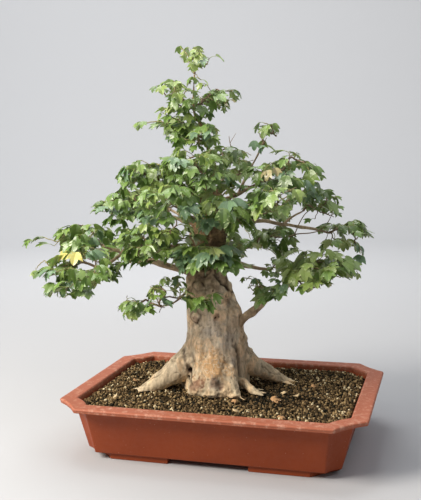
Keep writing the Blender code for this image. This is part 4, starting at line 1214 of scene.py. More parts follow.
def make_boughs(material):
    heap = Heap()
    names = []
    crests = []
    for mass in masses:
        if mass.thick:
            rings, stands = limb_rings(mass)
            heap.add([p for ring in rings for p in ring], loop_faces(len(rings), LIMB_SIDES))
            crests += stands
            names.append("bough_" + mass.name)
    piece = heap.piece("bough_bark", [material])
    # The bark's colours turn how far each point stands out into painted highlight and painted shade
    piece.data.attributes.new("crest", "FLOAT", "POINT").data.foreach_set("value", crests)
    face_out(piece)
    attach(piece, "root")
    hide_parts(*names)
    return piece


bough_piece = make_boughs(bough_bark)
bough_shape = BVHTree.FromObject(bough_piece, bpy.context.evaluated_depsgraph_get())
print("boughs", triangles(bough_piece), "triangles")

# %% [markdown]
# ## Leaves
# A trident maple's leaf is a rounded wedge with three lobes that point forward. It is folded a
# little along its main veins and droops from a thin stalk, so a shoot's end looks like a small
# umbrella. Each leaf is a closed blade: an upper sheet, a lower sheet a fraction of a millimetre under
# it, and a shared edge, so that it is a true solid and its paler underside has its own faces.

# %% Leaf blade
# Half a blade as shares of its length, across and ahead of the stalk: midrib, side vein and edge
RIB = ((0.0, 0.0), (0.0, 0.22), (0.0, 0.45), (0.0, 0.64), (0.0, 0.82), (0.0, 1.0))
SIDE_RIB = ((0.19, 0.34), (0.33, 0.50))
EDGE = ((0.12, 0.015), (0.24, 0.11), (0.33, 0.28), (0.42, 0.47), (0.51, 0.71), (0.36, 0.655),
        (0.215, 0.61), (0.205, 0.73), (0.145, 0.86), (0.06, 0.955))
HALF_FACES = ("r0 e0 e1 r1", "r1 e1 e2 s0", "s0 e2 e3 s1", "s1 e3 e4", "s1 e4 e5", "s0 s1 e5 e6",
              "r1 s0 r2", "r2 s0 e6 r3", "r3 e6 e7 r4", "r4 e7 e8", "r4 e8 e9 r5")
BLADE_THICK = 0.3 * MM
DROOPS, FOLDS, CUPS = (0.25, 1.05), (0.12, 0.50), (0.10, 0.50)
TWISTS, WIDTHS = (-0.25, 0.25), (0.92, 1.15)


def blade_template():
    """The flat blade: points as (across, ahead, whether on the edge), and the faces of both sheets."""
    spots = {}
    points = []
    for sign in (1, -1):
        for letter, row in (("r", RIB), ("s", SIDE_RIB), ("e", EDGE)):
            for i, (across, ahead) in enumerate(row):
                if letter == "r" and sign < 0:
                    spots[sign, f"r{i}"] = spots[1, f"r{i}"]
                    continue
                spots[sign, f"{letter}{i}"] = len(points)
                on_edge = letter == "e" or (letter == "r" and i in (0, len(RIB) - 1))
                points.append((sign * across, ahead, on_edge))
    upper = []
    for sign in (1, -1):
        for names in HALF_FACES:
            face = [spots[sign, name] for name in names.split()]
            upper.append(face if sign > 0 else face[::-1])
    under = {i: len(points) + k for k, i in enumerate(i for i, p in enumerate(points) if not p[2])}
    lower = [[under.get(i, i) for i in face[::-1]] for face in upper]
    return points, list(under), [tuple(f) for f in upper], [tuple(f) for f in lower]


BLADE, BLADE_INNER, UPPER_FACES, LOWER_FACES = blade_template()


class Pose:
    """How one leaf hangs: where its blade starts, its directions, its length and its curves."""

    def __init__(self, root, way, face, length, rng):
        self.root = root
        self.way = way.normalized()
        self.side = self.way.cross(face).normalized()
        self.face = self.side.cross(self.way).normalized()
        self.length = length
        self.droop = rng.uniform(*DROOPS)
        self.fold = rng.uniform(*FOLDS)
        self.cup = rng.uniform(*CUPS)
        self.twist = rng.uniform(*TWISTS)
        self.wide = rng.uniform(*WIDTHS)

    def place(self, across, ahead, under=0.0):
        """A point of the blade in the model, from its place on the flat blade."""
        angle = self.droop * ahead
        run = math.sin(angle) / self.droop
        fall = (1 - math.cos(angle)) / self.droop
        wide = across * self.wide
        rise = self.fold * abs(wide) - self.cup * wide * wide * (0.6 + ahead) + self.twist * wide * ahead
        rise -= under / self.length
        along = run + rise * math.sin(angle)
        high = rise * math.cos(angle) - fall
        return self.root + (self.side * wide + self.way * along + self.face * high) * self.length

    def blade(self):
        """The bent blade's points."""
        top = [self.place(across, ahead) for across, ahead, _ in BLADE]
        under = [self.place(BLADE[i][0], BLADE[i][1], BLADE_THICK) for i in BLADE_INNER]
        return top + under


print("a leaf has", sum(len(f) - 2 for f in UPPER_FACES + LOWER_FACES), "triangles")

# %% [markdown]
# ## Leaf colours
# Every leaf of a spray has about the same age and so the same green: deep in the shade, fresh at the
# tips, and here and there a yellow or a buff one. The tints are plain colours, each its own
# material, because a leaf this small shows no more than one. A leaf shines softly, as its skin is
# waxy, and lets some light through, which a little subsurface light stands for.

# %% Leaf materials
LEAF_TINTS = {
    "leaf_deep": "#516A2D", "leaf_mature": "#648038", "leaf_blue_green": "#65805D",
    "leaf_green": "#708840", "leaf_fresh": "#7E9248", "leaf_young": "#9BA766",
    "leaf_yellow": "#C4BB66", "leaf_buff": "#9E9468",
}
LEAF_UNDERSIDES = {"leaf_under": "#93A66C", "leaf_under_young": "#B2C080"}
STALK = "#8C9A4A"
SHOOT = "#8E8459"
TWIG = "#826E58"


def leaf_material(name, code):
    """A thin waxy leaf."""
    return new_material(name, code, 0.40, Specular_IOR_Level=0.60, Subsurface_Weight=0.15,
                        Subsurface_Scale=0.6 * MM, Subsurface_Radius=(0.6, 1.0, 0.3),
                        Coat_Weight=0.12, Coat_Roughness=0.30)


leaf_tints = [leaf_material(name, code) for name, code in (LEAF_TINTS | LEAF_UNDERSIDES).items()]
TINT_NUMBER = {name: i for i, name in enumerate(LEAF_TINTS | LEAF_UNDERSIDES)}
twig_tints = [new_material("twig_bark", TWIG, 0.75), new_material("green_shoot", SHOOT, 0.6),
              new_material("leaf_stalk", STALK, 0.5)]
print("leaf tints", len(leaf_tints))

# %% [markdown]
# ## Where the sky shows
# A crown is as much gaps as leaves. The outline of the crown and the openings in it were measured in
# the photograph as places of single pixels. A leaf anywhere along a line of sight through an opening
# would close it, so hardly any of a leaf may reach in, at any depth. Where the photograph shows bark,
# a leaf before the trunk may cover it with half its blade at most, and a tuft that the photograph
# shows there may cover more.

# %% Crown outline and openings
# Pixels round the crown, across and down
CROWN_OUTLINE = (
    (209, 45), (227, 57), (224, 62), (215, 57), (209, 60), (204, 73), (209, 85), (219, 90), (235, 87),
    (244, 97), (223, 115), (215, 113), (212, 124), (224, 135), (234, 132), (234, 142), (244, 149),
    (251, 134), (256, 120), (277, 121), (282, 134), (271, 141), (275, 149), (297, 149), (303, 162),
    (321, 166), (325, 184), (340, 195), (347, 215), (362, 220), (380, 239), (368, 248), (359, 280),
    (337, 279), (327, 291), (319, 288), (302, 294), (293, 289), (278, 304), (271, 301), (257, 312),
    (241, 335), (187, 335), (179, 305), (152, 318), (143, 317), (127, 324), (115, 305), (128, 295),
    (143, 301), (151, 285), (170, 275), (166, 266), (147, 275), (131, 271), (122, 285), (114, 281),
    (101, 284), (89, 301), (83, 295), (65, 301), (54, 293), (40, 299), (31, 271), (52, 250), (49, 246),
    (23, 248), (22, 234), (50, 233), (63, 225), (99, 223), (99, 217), (87, 210), (117, 189), (115, 178),
    (123, 166), (162, 151), (166, 141), (160, 129), (129, 131), (139, 121), (150, 119), (163, 102),
    (146, 88), (188, 73), (181, 56), (171, 51), (173, 47),
)
# Each opening: across, down and radius in pixels
SKY_OPENINGS = (
    (211, 59, 4.5), (177, 77, 3.6), (187, 74, 4.1), (203, 73, 5.8), (153, 118, 5), (162, 100, 5.4),
    (217, 113, 4.1), (234, 107, 4.2), (226, 135, 4.5), (256, 137, 5.5), (272, 139, 5), (224, 141, 4.5),
    (234, 141, 3.6), (245, 148, 4.5), (265, 158, 6), (278, 157, 4.2), (298, 174, 4.1), (116, 186, 3.6),
    (323, 184, 3.6), (99, 218, 5), (105, 216, 4.1), (173, 209, 5), (278, 202, 3.6), (297, 216, 6.5),
    (313, 217, 4), (240, 233, 5.5), (248, 236, 4), (260, 224, 5), (266, 225, 4.1), (330, 234, 5),
    (348, 236, 3.6), (249, 252, 3.6), (258, 256, 8), (265, 255, 6), (280, 242, 3.6), (294, 258, 3.6),
    (306, 242, 8), (314, 243, 7.5), (366, 243, 6), (40, 262, 4.5), (52, 279, 4.1), (89, 265, 5),
    (128, 274, 5), (139, 273, 3.6), (152, 272, 3.6), (169, 273, 5.4), (230, 276, 4.1), (244, 272, 6),
    (257, 263, 4), (337, 279, 3.6), (40, 282, 5.5), (156, 283, 3.6), (169, 296, 4.5), (235, 281, 4.1),
    (240, 290, 6.8), (322, 289, 3.6), (144, 301, 4.2), (158, 305, 5.4), (182, 308, 4), (245, 303, 5.4),
    (207, 53, 3.6), (185, 66, 3.2), (155, 95, 3.6), (189, 96, 4), (161, 131, 3.6), (248, 139, 4.1),
    (165, 143, 3.2), (159, 152, 3.2), (168, 153, 4), (188, 156, 3.6), (272, 158, 3), (285, 197, 3),
    (159, 204, 3.2), (297, 206, 3.2), (320, 221, 3.2), (271, 227, 3), (146, 236, 3), (323, 237, 3.2),
    (358, 240, 3.2), (140, 242, 3.2), (249, 260, 3.2), (262, 265, 2.8), (82, 265, 3.2), (95, 265, 3),
    (176, 274, 3.2), (268, 283, 3.2), (98, 287, 3), (247, 294, 3.6),
)
# Each place where bark shows: across, down and radius in pixels
BARK_OPENINGS = (
    (203, 236, 8), (196, 228, 5), (214, 236, 6), (222, 235, 5), (217, 199, 4), (204, 271, 6), (192, 276, 7),
    (219, 271, 5), (222, 282, 7), (206, 286, 10), (228, 292, 8), (192, 292, 7), (210, 320, 12),
    (192, 314, 8), (230, 316, 10), (188, 302, 5), (218, 302, 5), (176, 267, 4), (164, 265, 3),
    (152, 263, 3), (124, 267, 3), (114, 262, 3), (240, 262, 3), (248, 265, 3), (256, 268, 3), (266, 271, 3),
    (252, 307, 5), (261, 301, 5), (270, 296, 4), (256, 219, 3), (275, 220, 3), (292, 226, 3), (310, 228, 3),
)
SKY_SHARE, TUFT_SKY_SHARE = 0.10, 0.22  # how much of a leaf may lie over the sky, also in a tuft
BARK_COUNTS = 0.2  # a point over open bark matters this much, set against a point over open sky
# Tufts that stand out: across and down in pixels, and how far behind the tree's foot in mm
TUFTS = (
    (181, 48, 0), (214, 47, 0), (190, 80, 0), (201, 80, -4), (207, 85, -6), (151, 86, -10), (237, 93, 10),
    (222, 108, 5), (158, 110, 10), (168, 109, -6), (178, 108, -10), (187, 107, -8), (201, 107, -12),
    (207, 114, -6), (142, 122, 10), (176, 140, -20), (184, 139, -30), (196, 142, -40), (255, 124, 4),
    (273, 125, 4), (264, 123, 0), (254, 141, 4), (266, 142, 0), (262, 149, -6), (271, 146, 4),
    (288, 152, -10), (296, 153, -6), (305, 161, -10), (320, 171, -10), (227, 183, -40), (234, 183, -30),
    (120, 176, -10), (93, 208, 30), (104, 212, 10), (152, 219, -50), (164, 219, -50), (176, 220, -55),
    (54, 246, 10), (38, 266, -50), (45, 261, -50), (65, 289, -56), (88, 291, -52), (41, 289, -50),
    (90, 247, -40), (97, 251, -40), (147, 261, -55), (136, 263, -50), (125, 264, -40), (157, 260, -50),
    (121, 277, -40), (164, 277, -60), (173, 278, -60), (177, 284, -62), (180, 289, -64), (160, 287, -66),
    (150, 287, -66), (120, 304, -72), (128, 311, -72), (134, 301, -72), (177, 298, -60), (327, 214, -10),
    (334, 217, -10), (315, 219, -10), (343, 217, 0), (361, 250, 26), (357, 267, 26), (304, 286, -60),
    (318, 283, -56), (293, 285, -56), (267, 271, -10), (262, 289, -30), (275, 279, -40), (285, 287, -44),
    (245, 278, -10), (241, 283, -20), (256, 279, -20), (240, 188, -30), (247, 186, -30), (165, 114, 0),
    (172, 117, -6), (187, 113, -10), (140, 123, 8), (200, 147, -40), (255, 143, 0), (178, 225, -55),
    (184, 229, -55), (46, 258, -10), (84, 253, -30), (173, 258, -55), (240, 256, -30), (363, 256, 26),
    (36, 271, -50), (358, 275, 26), (67, 296, -56), (121, 280, -50), (165, 282, -62), (180, 293, -62),
    (276, 298, -60), (282, 294, -60), (128, 319, -72), (182, 300, -62), (200, 298, -66), (206, 300, -68),
    (209, 296, -64), (204, 306, -66), (187, 260, -84), (193, 255, -90), (199, 249, -86), (205, 254, -92),
    (212, 250, -92), (219, 248, -88), (215, 262, -88), (224, 258, -86), (229, 264, -84), (234, 270, -80),
    (213, 210, -80), (212, 224, -76), (230, 219, -84), (234, 206, -84), (245, 211, -76), (33, 241, 12),
    (226, 224, -80), (246, 246, -20), (238, 246, -24), (252, 243, -14), (232, 237, -30), (243, 257, -30),
    (190, 178, -30), (196, 187, -40), (204, 178, -50), (208, 168, -50), (186, 187, -20), (198, 169, -45),
    (212, 187, -60), (203, 190, -70), (192, 196, -50), (218, 178, -50), (210, 158, -45), (282, 182, -30),
    (290, 156, -10), (297, 160, -10), (311, 166, -10), (318, 176, -10), (60, 292, -56), (76, 294, -56),
    (312, 288, -60), (310, 270, -64), (299, 274, -60), (322, 262, -50), (197, 248, -98), (208, 248, -100),
    (218, 257, -96), (190, 254, -84), (204, 262, -96), (228, 269, -84), (184, 184, 15), (191, 190, 15),
    (200, 184, 25), (196, 177, 10), (206, 176, -75), (188, 193, -20), (181, 192, -30), (214, 196, -80),
    (224, 190, -70), (222, 200, -85), (228, 246, -40), (176, 218, -50), (186, 238, -50), (178, 244, -56),
    (170, 232, -58),
)
# Bare twigs between the masses: about how far behind the foot and how thick in mm, then pixels
BARE_TWIGS = (
    (-10, 1.5, ((262, 239), (275, 237), (288, 237), (297, 234), (310, 233), (323, 230))),
    (-10, 1, ((295, 234), (300, 222), (306, 213), (314, 208), (321, 203))),
    (-10, 0.9, ((322, 231), (328, 222), (333, 212))),
    (-25, 1, ((250, 213), (262, 214), (275, 209), (285, 203), (293, 196), (304, 190))),
    (-25, 0.8, ((271, 201), (284, 193), (297, 187))),
    (-35, 1.1, ((172, 219), (168, 210), (163, 200), (158, 192))),
    (-35, 0.8, ((169, 212), (173, 205), (178, 198))),
    (-20, 1.5, ((128, 267), (133, 258), (139, 251), (142, 246), (139, 240), (133, 235))),
    (-20, 1.2, ((121, 267), (106, 264), (92, 260), (84, 257))),
    (-50, 0.8, ((78, 258), (76, 268), (79, 276), (82, 281))),
    (-10, 0.9, ((231, 153), (230, 143), (229, 136))),
    (-10, 0.6, ((230, 143), (236, 133))),
    (-50, 0.9, ((169, 220), (175, 231), (181, 240))),
    (-45, 0.8, ((210, 240), (219, 231), (226, 222))),
    (-45, 0.9, ((189, 218), (197, 214), (203, 207))),
)


def in_circles(across, down, circles):
    """Whether each place is in any of the circles."""
    found = np.zeros(across.shape, bool)
    for x, y, radius in circles:
        found |= np.hypot(across - x, down - y) < radius
    return found


def closed_places():
    """For each pixel: whether no leaf may show there at all, and whether none may before the trunk."""
    across, down = np.meshgrid(np.arange(PHOTO_WIDE) + 0.5, np.arange(PHOTO_HIGH) + 0.5)
    inside = np.zeros(across.shape, bool)
    for (x0, y0), (x1, y1) in zip(CROWN_OUTLINE, CROWN_OUTLINE[1:] + CROWN_OUTLINE[:1]):
        if y0 != y1:
            left_of = across < x0 + (down - y0) * (x1 - x0) / (y1 - y0)
            inside ^= ((y0 > down) != (y1 > down)) & left_of
    return ~inside | in_circles(across, down, SKY_OPENINGS), in_circles(across, down, BARK_OPENINGS)


SKY_SHOWS, BARK_SHOWS = closed_places()


def closed(point):
    """How much it matters that a leaf at a point covers what the photograph shows open."""
    across, down = (int(v) for v in pixel_of(point))
    if not (0 <= across < PHOTO_WIDE and 0 <= down < PHOTO_HIGH) or SKY_SHOWS[down, across]:
        return 1.0
    return BARK_COUNTS if BARK_SHOWS[down, across] and (point - FOOT).dot(AWAY) < 0 else 0.0


def place_at(across, down, away):
    """The place that shows at a pixel, some way behind the tree's foot."""
    ray = pixel_ray(across, down)
    return CAMERA_PLACE + ray * (((FOOT - CAMERA_PLACE).dot(AWAY) + away) / ray.dot(AWAY))


def tufts_of(mass):
    """The tufts that are nearer to this mass than to any other."""
    places = [place_at(across, down, away * MM) for across, down, away in TUFTS]
    return [point for point in places if min(masses, key=lambda other: other.reach_share(point)) is mass]


print("the outline holds", round(1 - SKY_SHOWS.mean(), 3), "of the picture")

# %% [markdown]
# ## Growing the foliage
# Leaves could be scattered over a surface, but then nothing would bear them. The rule here is the one
# that the solid masses follow. Twig ends are spread through a mass's own space, each as far as it can
# be from the others. From the nearest to the furthest, each is joined to the closest twig that already
# grows, leaving it the way that twig points. Then each twig bears pairs of leaves, as maples do. A leaf
# that would leave the mass's space, or touch the trunk or a bough, isn't grown. Only the tufts that
# the photograph shows may leave that space.

# %% Twigs
TIPS_PER_AREA = 6700  # for each square metre of a mass's half width
TIP_DEPTH = 19 * MM
TIP_CORE = 0.30
TIP_TRIES = 40
TIP_LOWEST, TIP_INNER = -0.70, 0.20
TIP_MARGIN = 2 * MM
TURN_COST = 0.5
BEND, TUFT_BEND = 0.45, 0.20  # how far a twig keeps the way of the one that bears it
TWIG_TIP = 0.58 * MM
TWIG_PIPE = 0.42  # a twig that bears twice as many ends is thicker by this power of two
TWIG_STEPS = 6
TWIG_WANDER = 1.3 * MM
TWIG_ROWS = 5  # so many of the limb's last points bear twigs


def spread_tips(mass, count, rng):
    """Twig ends spread through the mass, each the furthest of some tries from those before it."""
    core = max(mass.half - TIP_DEPTH, mass.half * TIP_CORE)
    tips = []
    for _ in range(count):
        best, best_gap = None, -1.0
        for _ in range(TIP_TRIES):
            turn = rng.uniform(0, 2 * math.pi)
            rise = rng.uniform(TIP_LOWEST, 1.0)
            out = rng.uniform(TIP_INNER, 1.0) ** 0.5
            level = math.sqrt(1 - rise * rise)
            off = Vector((level * math.cos(turn), level * math.sin(turn), rise * FLATTENING)) * core * out
            point = mass.centre + off
            if not mass.inside(point, masses, TIP_MARGIN) or closed(point):
                continue
            gap = min([(point - other).length for other in tips] + [1.0])
            if gap > best_gap:
                best, best_gap = point, gap
        if best is not None:
            tips.append(best)
    return tips


class Twigs:
    """Twigs that branch from a mass's stem, each end reached from the nearest twig at an easy turn."""

    def __init__(self, mass):
        self.points, self.headings, self.before, self.load, self.chains = [], [], [], [], []
        self.put(mass.seat, mass.heading, None)
        for point, after in zip(mass.path[-TWIG_ROWS:-1], mass.path[1 - TWIG_ROWS:]):
            self.put(point, (after - point).normalized(), None)

    def put(self, point, heading, before):
        self.points.append(point)
        self.headings.append(heading)
        self.before.append(before)
        self.load.append(0)
        return len(self.points) - 1

    def nearest(self, tip):
        """The point that a twig to this tip leaves from."""
        def cost(i):
            off = tip - self.points[i]
            return off.length + TURN_COST * (off.length - off.dot(self.headings[i]))
        return min(range(len(self.points)), key=cost)

    def grow(self, tip, rng, bend_share):
        """A wandering twig from the nearest one to a tip."""
        start = self.nearest(tip)
        base = self.points[start]
        bend = base + self.headings[start] * (tip - base).length * bend_share
        chain = [start]
        last = start
        for k in range(1, TWIG_STEPS + 1):
            t = k / TWIG_STEPS
            point = base.lerp(bend, t).lerp(bend.lerp(tip, t), t)
            stray = Vector((rng.uniform(-1, 1), rng.uniform(-1, 1), rng.uniform(-1, 1)))
            point = point + stray * TWIG_WANDER * math.sin(math.pi * t)
            last = self.put(point, (point - self.points[last]).normalized(), last)
            chain.append(last)
        self.chains.append(chain)
        while last is not None:
            self.load[last] += 1
            last = self.before[last]
        return chain

    def thickness(self, i):
        """A twig is the thicker, the more ends it bears."""
        return TWIG_TIP * max(self.load[i], 1) ** TWIG_PIPE


print("twig ends are", round(2 * TWIG_TIP / MM, 2), "mm thick")

# %% [markdown]
# A spray's green depends on how far out and how high it is in its mass. A few sprays whose colour
# stands out in the photograph have their place in a list.

# %% Tints of the sprays
TINT_CHANCES = (("leaf_deep", 0.16), ("leaf_mature", 0.37), ("leaf_blue_green", 0.10), ("leaf_green", 0.25),
                ("leaf_fresh", 0.10), ("leaf_young", 0.02))
# Sprays whose colour has a place: across, down and radius in pixels
TINT_SPOTS = ((125, 252, 4, "leaf_young"), (72, 254, 4, "leaf_yellow"), (240, 192, 7, "leaf_yellow"),
              (262, 248, 7, "leaf_yellow"), (270, 172, 5, "leaf_buff"), (237, 94, 6, "leaf_buff"),
              (228, 106, 5, "leaf_buff"), (342, 236, 6, "leaf_young"), (150, 88, 8, "leaf_young"),
              (312, 272, 14, "leaf_fresh"), (292, 268, 10, "leaf_fresh"), (338, 256, 10, "leaf_green"),
              (190, 259, 7, "leaf_blue_green"), (199, 250, 6, "leaf_green"), (207, 254, 5, "leaf_mature"),
              (216, 250, 8, "leaf_blue_green"), (226, 262, 10, "leaf_mature"),
              (212, 224, 6, "leaf_blue_green"), (213, 210, 6, "leaf_green"),
              (230, 219, 8, "leaf_green"), (234, 206, 6, "leaf_fresh"),
              (195, 55, 12, "leaf_fresh"), (264, 128, 12, "leaf_green"), (205, 304, 16, "leaf_mature"),
              (300, 160, 14, "leaf_mature"), (318, 172, 6, "leaf_buff"))
YOUNG_MASSES = ("apex", "top_left", "top_right", "spire_right", "neck_right", "sprig_left")
SPOT_DEEPEST = 40 * MM  # a spot's colour reaches no further behind the tree's foot than this
LIT_OUT, LIT_UP, LIT_YOUNG = 0.35, 0.45, 0.4  # what makes a spray young: far out, high up, a young mass
LIT_MIDDLE, LIT_COUNTS = 0.4, 0.22


def pick_tint(mass, tip, rng):
    """A spray's green, a step or two lighter where it reaches the light."""
    across, down = pixel_of(tip)
    for spot_across, spot_down, radius, name in TINT_SPOTS:
        near = math.hypot(across - spot_across, down - spot_down) < radius
        if near and (tip - FOOT).dot(AWAY) < SPOT_DEEPEST:
            return name
    lit = mass.reach_share(tip) * LIT_OUT + (tip.z - mass.centre.z) / mass.half * LIT_UP
    lit += LIT_YOUNG if mass.name in YOUNG_MASSES else 0.0
    draw = rng.random() + LIT_COUNTS * (lit - LIT_MIDDLE)
    total = 0.0
    for name, chance in TINT_CHANCES:
        total += chance
        if draw < total:
            return name
    return "leaf_fresh"


print("sprays with a colour of their own", len(TINT_SPOTS))

# %% [markdown]
# A twig's leaves sit in pairs a centimetre or so apart, each pair square to the last, and each leaf
# hangs out and down on its stalk. A leaf that finds no room is tried a few times and then left out.

# %% Leaf growth
LEAF_MEAN, LEAF_LEAST, LEAF_MOST = 19 * MM, 11 * MM * 0.7, 37 * MM
LEAF_SPREAD, SPRAY_SPREAD = 0.27, (0.85, 1.15)
END_PAIR, END_LEAF = 0.80, 0.9  # the leaves at a twig's very end are smaller than the others
NODE_STEP, NODE_SPREAD = 8.5 * MM, (0.8, 1.3)
DRESSED = 0.60  # the share of a twig that bears leaves
PAIR_AHEAD, PAIR_OUT = 0.7, 0.8  # how much a pair leans along the twig and out of the mass
LEAF_TRIES, TUFT_TRIES = 8, 24
LEAF_SLACK, LEAF_MARGIN = 9 * MM, -8 * MM  # how far a leaf may reach past its mass's outline and cell
LEAF_APART = 7 * MM
LEAF_CLEAR = 1.5 * MM
FEELERS = ((0, 1), (0.5, 0.7), (-0.5, 0.7), (0.3, 0.2), (-0.3, 0.2))  # spots of a blade to test
LEAF_TURN, LEAF_DIP, LEAF_LEAN = 0.5, (0.05, 1.0), 0.4
STALK_SHARE, STALK_RISE, STALK_SAG = (0.30, 0.75), (-0.1, 0.55), 0.10
STALK_THICK = 0.42 * MM
STALK_SIDES = 4
THICK_TWIG = 1.0 * MM
PALE_UNDER = ("leaf_fresh", "leaf_young", "leaf_yellow")
# How large the leaves of some masses are
LEAF_SCALE = {"sprig_left": 0.88, "elbow_right": 0.70, "trunk_sprout": 0.85, "inner_right": 0.80,
              "low_right": 1.35, "tip_right": 1.12, "throat": 1.28, "breast": 1.25, "low_left": 1.12,
              "mid_left": 1.08, "apex": 1.05, "top_right": 0.95, "spire_right": 1.1}


def cell_of(point):
    return tuple(int(v // LEAF_APART) for v in point)


class Canopy:
    """All the leaves, stalks and twigs of the tree, and what they have to miss."""

    def __init__(self):
        self.leaves = Heap()
        self.stalks = Heap()
        self.twigs = Heap()
        self.spots = {}
        self.wood = []
        self.count = 0

    def crowded(self, point):
        """Whether another leaf's middle is too near."""
        cell = cell_of(point)
        for step in product((-1, 0, 1), repeat=3):
            for other in self.spots.get(tuple(map(sum, zip(cell, step))), ()):
                if (point - other).length < LEAF_APART:
                    return True
        return False

    def fits(self, pose, mass, tuft):
        """Whether a leaf has room in its mass, beside the others, off the openings and off the wood."""
        outline = [pose.place(*spot) for spot in FEELERS]
        if not tuft and any(mass.reach_share(p) > 1 + LEAF_SLACK / mass.half for p in outline):
            return False
        if not tuft and not all(mass.inside(p, masses, LEAF_MARGIN) for p in outline):
            return False
        middle = pose.place(0, 0.5)
        if self.crowded(middle):
            return False
        covered = sum(closed(pose.place(across, ahead)) for across, ahead, _ in BLADE)
        if covered > (TUFT_SKY_SHARE if tuft else SKY_SHARE) * len(BLADE):
            return False
        for point in outline + [middle]:
            near, normal, _, gap = trunk_shape.find_nearest(point)
            if gap < LEAF_CLEAR or (point - near).dot(normal) < 0:
                return False
            if bough_shape.find_nearest(point)[3] < LEAF_CLEAR:
                return False
        return True

    def hang_leaf(self, node, out, size, mass, tint, rng, tuft):
        """One leaf on its stalk, from a place on a twig, or nothing where there is no room."""
        for _ in range(TUFT_TRIES if tuft else LEAF_TRIES):
            turn = math.atan2(out.y, out.x) + rng.uniform(-LEAF_TURN, LEAF_TURN)
            level = Vector((math.cos(turn), math.sin(turn), 0))
            stalk = size * rng.uniform(*STALK_SHARE)
            rise = rng.uniform(*STALK_RISE)
            root = node + (level + UP * rise).normalized() * stalk
            dip = rng.uniform(*LEAF_DIP)
            way = level * math.cos(dip) - UP * math.sin(dip)
            lean = Vector((rng.uniform(-LEAF_LEAN, LEAF_LEAN), rng.uniform(-LEAF_LEAN, LEAF_LEAN), 1.0))
            pose = Pose(root, way, lean, size, rng)
            if self.fits(pose, mass, tuft):
                break
        else:
            return
        first = len(self.leaves.points)
        self.leaves.add(pose.blade(), UPPER_FACES, TINT_NUMBER[tint])
        self.leaves.faces += [tuple(first + i for i in face) for face in LOWER_FACES]
        under = "leaf_under_young" if tint in PALE_UNDER else "leaf_under"
        self.leaves.slots += [TINT_NUMBER[under]] * len(LOWER_FACES)
        middle = node.lerp(root, 0.5) + UP * stalk * STALK_SAG
        end = pose.place(0, 0.02, BLADE_THICK / 2)
        radii = [STALK_THICK, STALK_THICK * 0.8, STALK_THICK * 0.7]
        self.stalks.add_tube([node, middle, end], radii, STALK_SIDES)
        middle = pose.place(0, 0.5)
        self.spots.setdefault(cell_of(middle), []).append(middle)
        self.count += 1

    def dress_twig(self, path, mass, rng, tuft):
        """Pairs of leaves back from a twig's end, or in a tuft only those at the end."""
        tint = pick_tint(mass, path[-1], rng)
        size = LEAF_MEAN * LEAF_SCALE.get(mass.name, 1.0) * rng.uniform(*SPRAY_SPREAD)
        ahead = (path[-1] - path[-2]).normalized()
        side = ahead.cross(UP)
        side = side.normalized() if side.length > 0.1 else TO_RIGHT.copy()
        above = side.cross(ahead).normalized()
        outward = Vector((path[-1].x - mass.centre.x, path[-1].y - mass.centre.y, 0)) / mass.half
        lengths = np.cumsum([0] + [(b - a).length for a, b in zip(path[:-1], path[1:])])
        back = 0.0
        before = self.count
        pair = rng.randrange(2)
        while back < lengths[-1] * DRESSED and (not tuft or back == 0):
            place = lengths[-1] - back
            i = int(np.searchsorted(lengths, place)) - 1
            i = min(max(i, 0), len(path) - 2)
            share = (place - lengths[i]) / max(lengths[i + 1] - lengths[i], 1e-9)
            node = path[i].lerp(path[i + 1], share)
            across = side if pair % 2 == 0 else above
            smaller = END_PAIR if back == 0 else 1.0
            for sign in (1, -1):
                out = across * sign + ahead * PAIR_AHEAD + outward * PAIR_OUT
                leaf = min(max(size * smaller * rng.gauss(1, LEAF_SPREAD), LEAF_LEAST), LEAF_MOST)
                self.hang_leaf(node, out, leaf, mass, tint, rng, tuft)
            if back == 0:
                self.hang_leaf(node, ahead + outward, size * END_LEAF, mass, tint, rng, tuft)
            back += NODE_STEP * rng.uniform(*NODE_SPREAD)
            pair += 1
        return self.count - before


print("leaves are", round(LEAF_MEAN / MM), "mm long on average")

# %% [markdown]
# The photograph shows a few bare twigs between the masses. Each starts on the wood that shows nearest
# to its first pixel and follows the others as far back as that wood stands, so that it grows from
# something when it is seen from any side.

# %% Bare twigs
BARE_TAPER = 0.45
BARE_STEPS, BARE_SIDES = 4, 6
DEPTH_COUNTS = 0.05  # pixels of miss that a millimetre of depth matters as much as


def wood_near(across, down, away, wood):
    """The piece of wood that shows nearest to a pixel, rather at a given depth."""
    def miss(point):
        at_across, at_down = pixel_of(point)
        depth = (point - FOOT).dot(AWAY) / MM - away
        return math.hypot(at_across - across, at_down - down) + DEPTH_COUNTS * abs(depth)
    return min(wood, key=miss)


def add_bare_twig(row, canopy):
    """One bare twig, and by how many pixels its start misses the photograph's."""
    away, thick, pixels = row
    home = wood_near(*pixels[0], away, canopy.wood)
    back = (home - FOOT).dot(AWAY)
    places = [tuple(home)] + [tuple(place_at(across, down, back)) for across, down in pixels[1:]]
    path = [Vector(place) for place in smooth_rows(places, BARE_STEPS)]
    shares = [k / (len(path) - 1) for k in range(len(path))]
    canopy.twigs.add_tube(path, [thick * MM * (1 - BARE_TAPER * t) for t in shares], BARE_SIDES)
    canopy.wood += path
    return math.hypot(*(v - w for v, w in zip(pixel_of(home), pixels[0])))


print("bare twigs", len(BARE_TWIGS))

# %% [markdown]
# Now every mass is grown in turn, with a seed of its own, so that it comes out the same each time. A
# tuft's twig is only drawn if a leaf found room at its end, or if it bears other twigs.

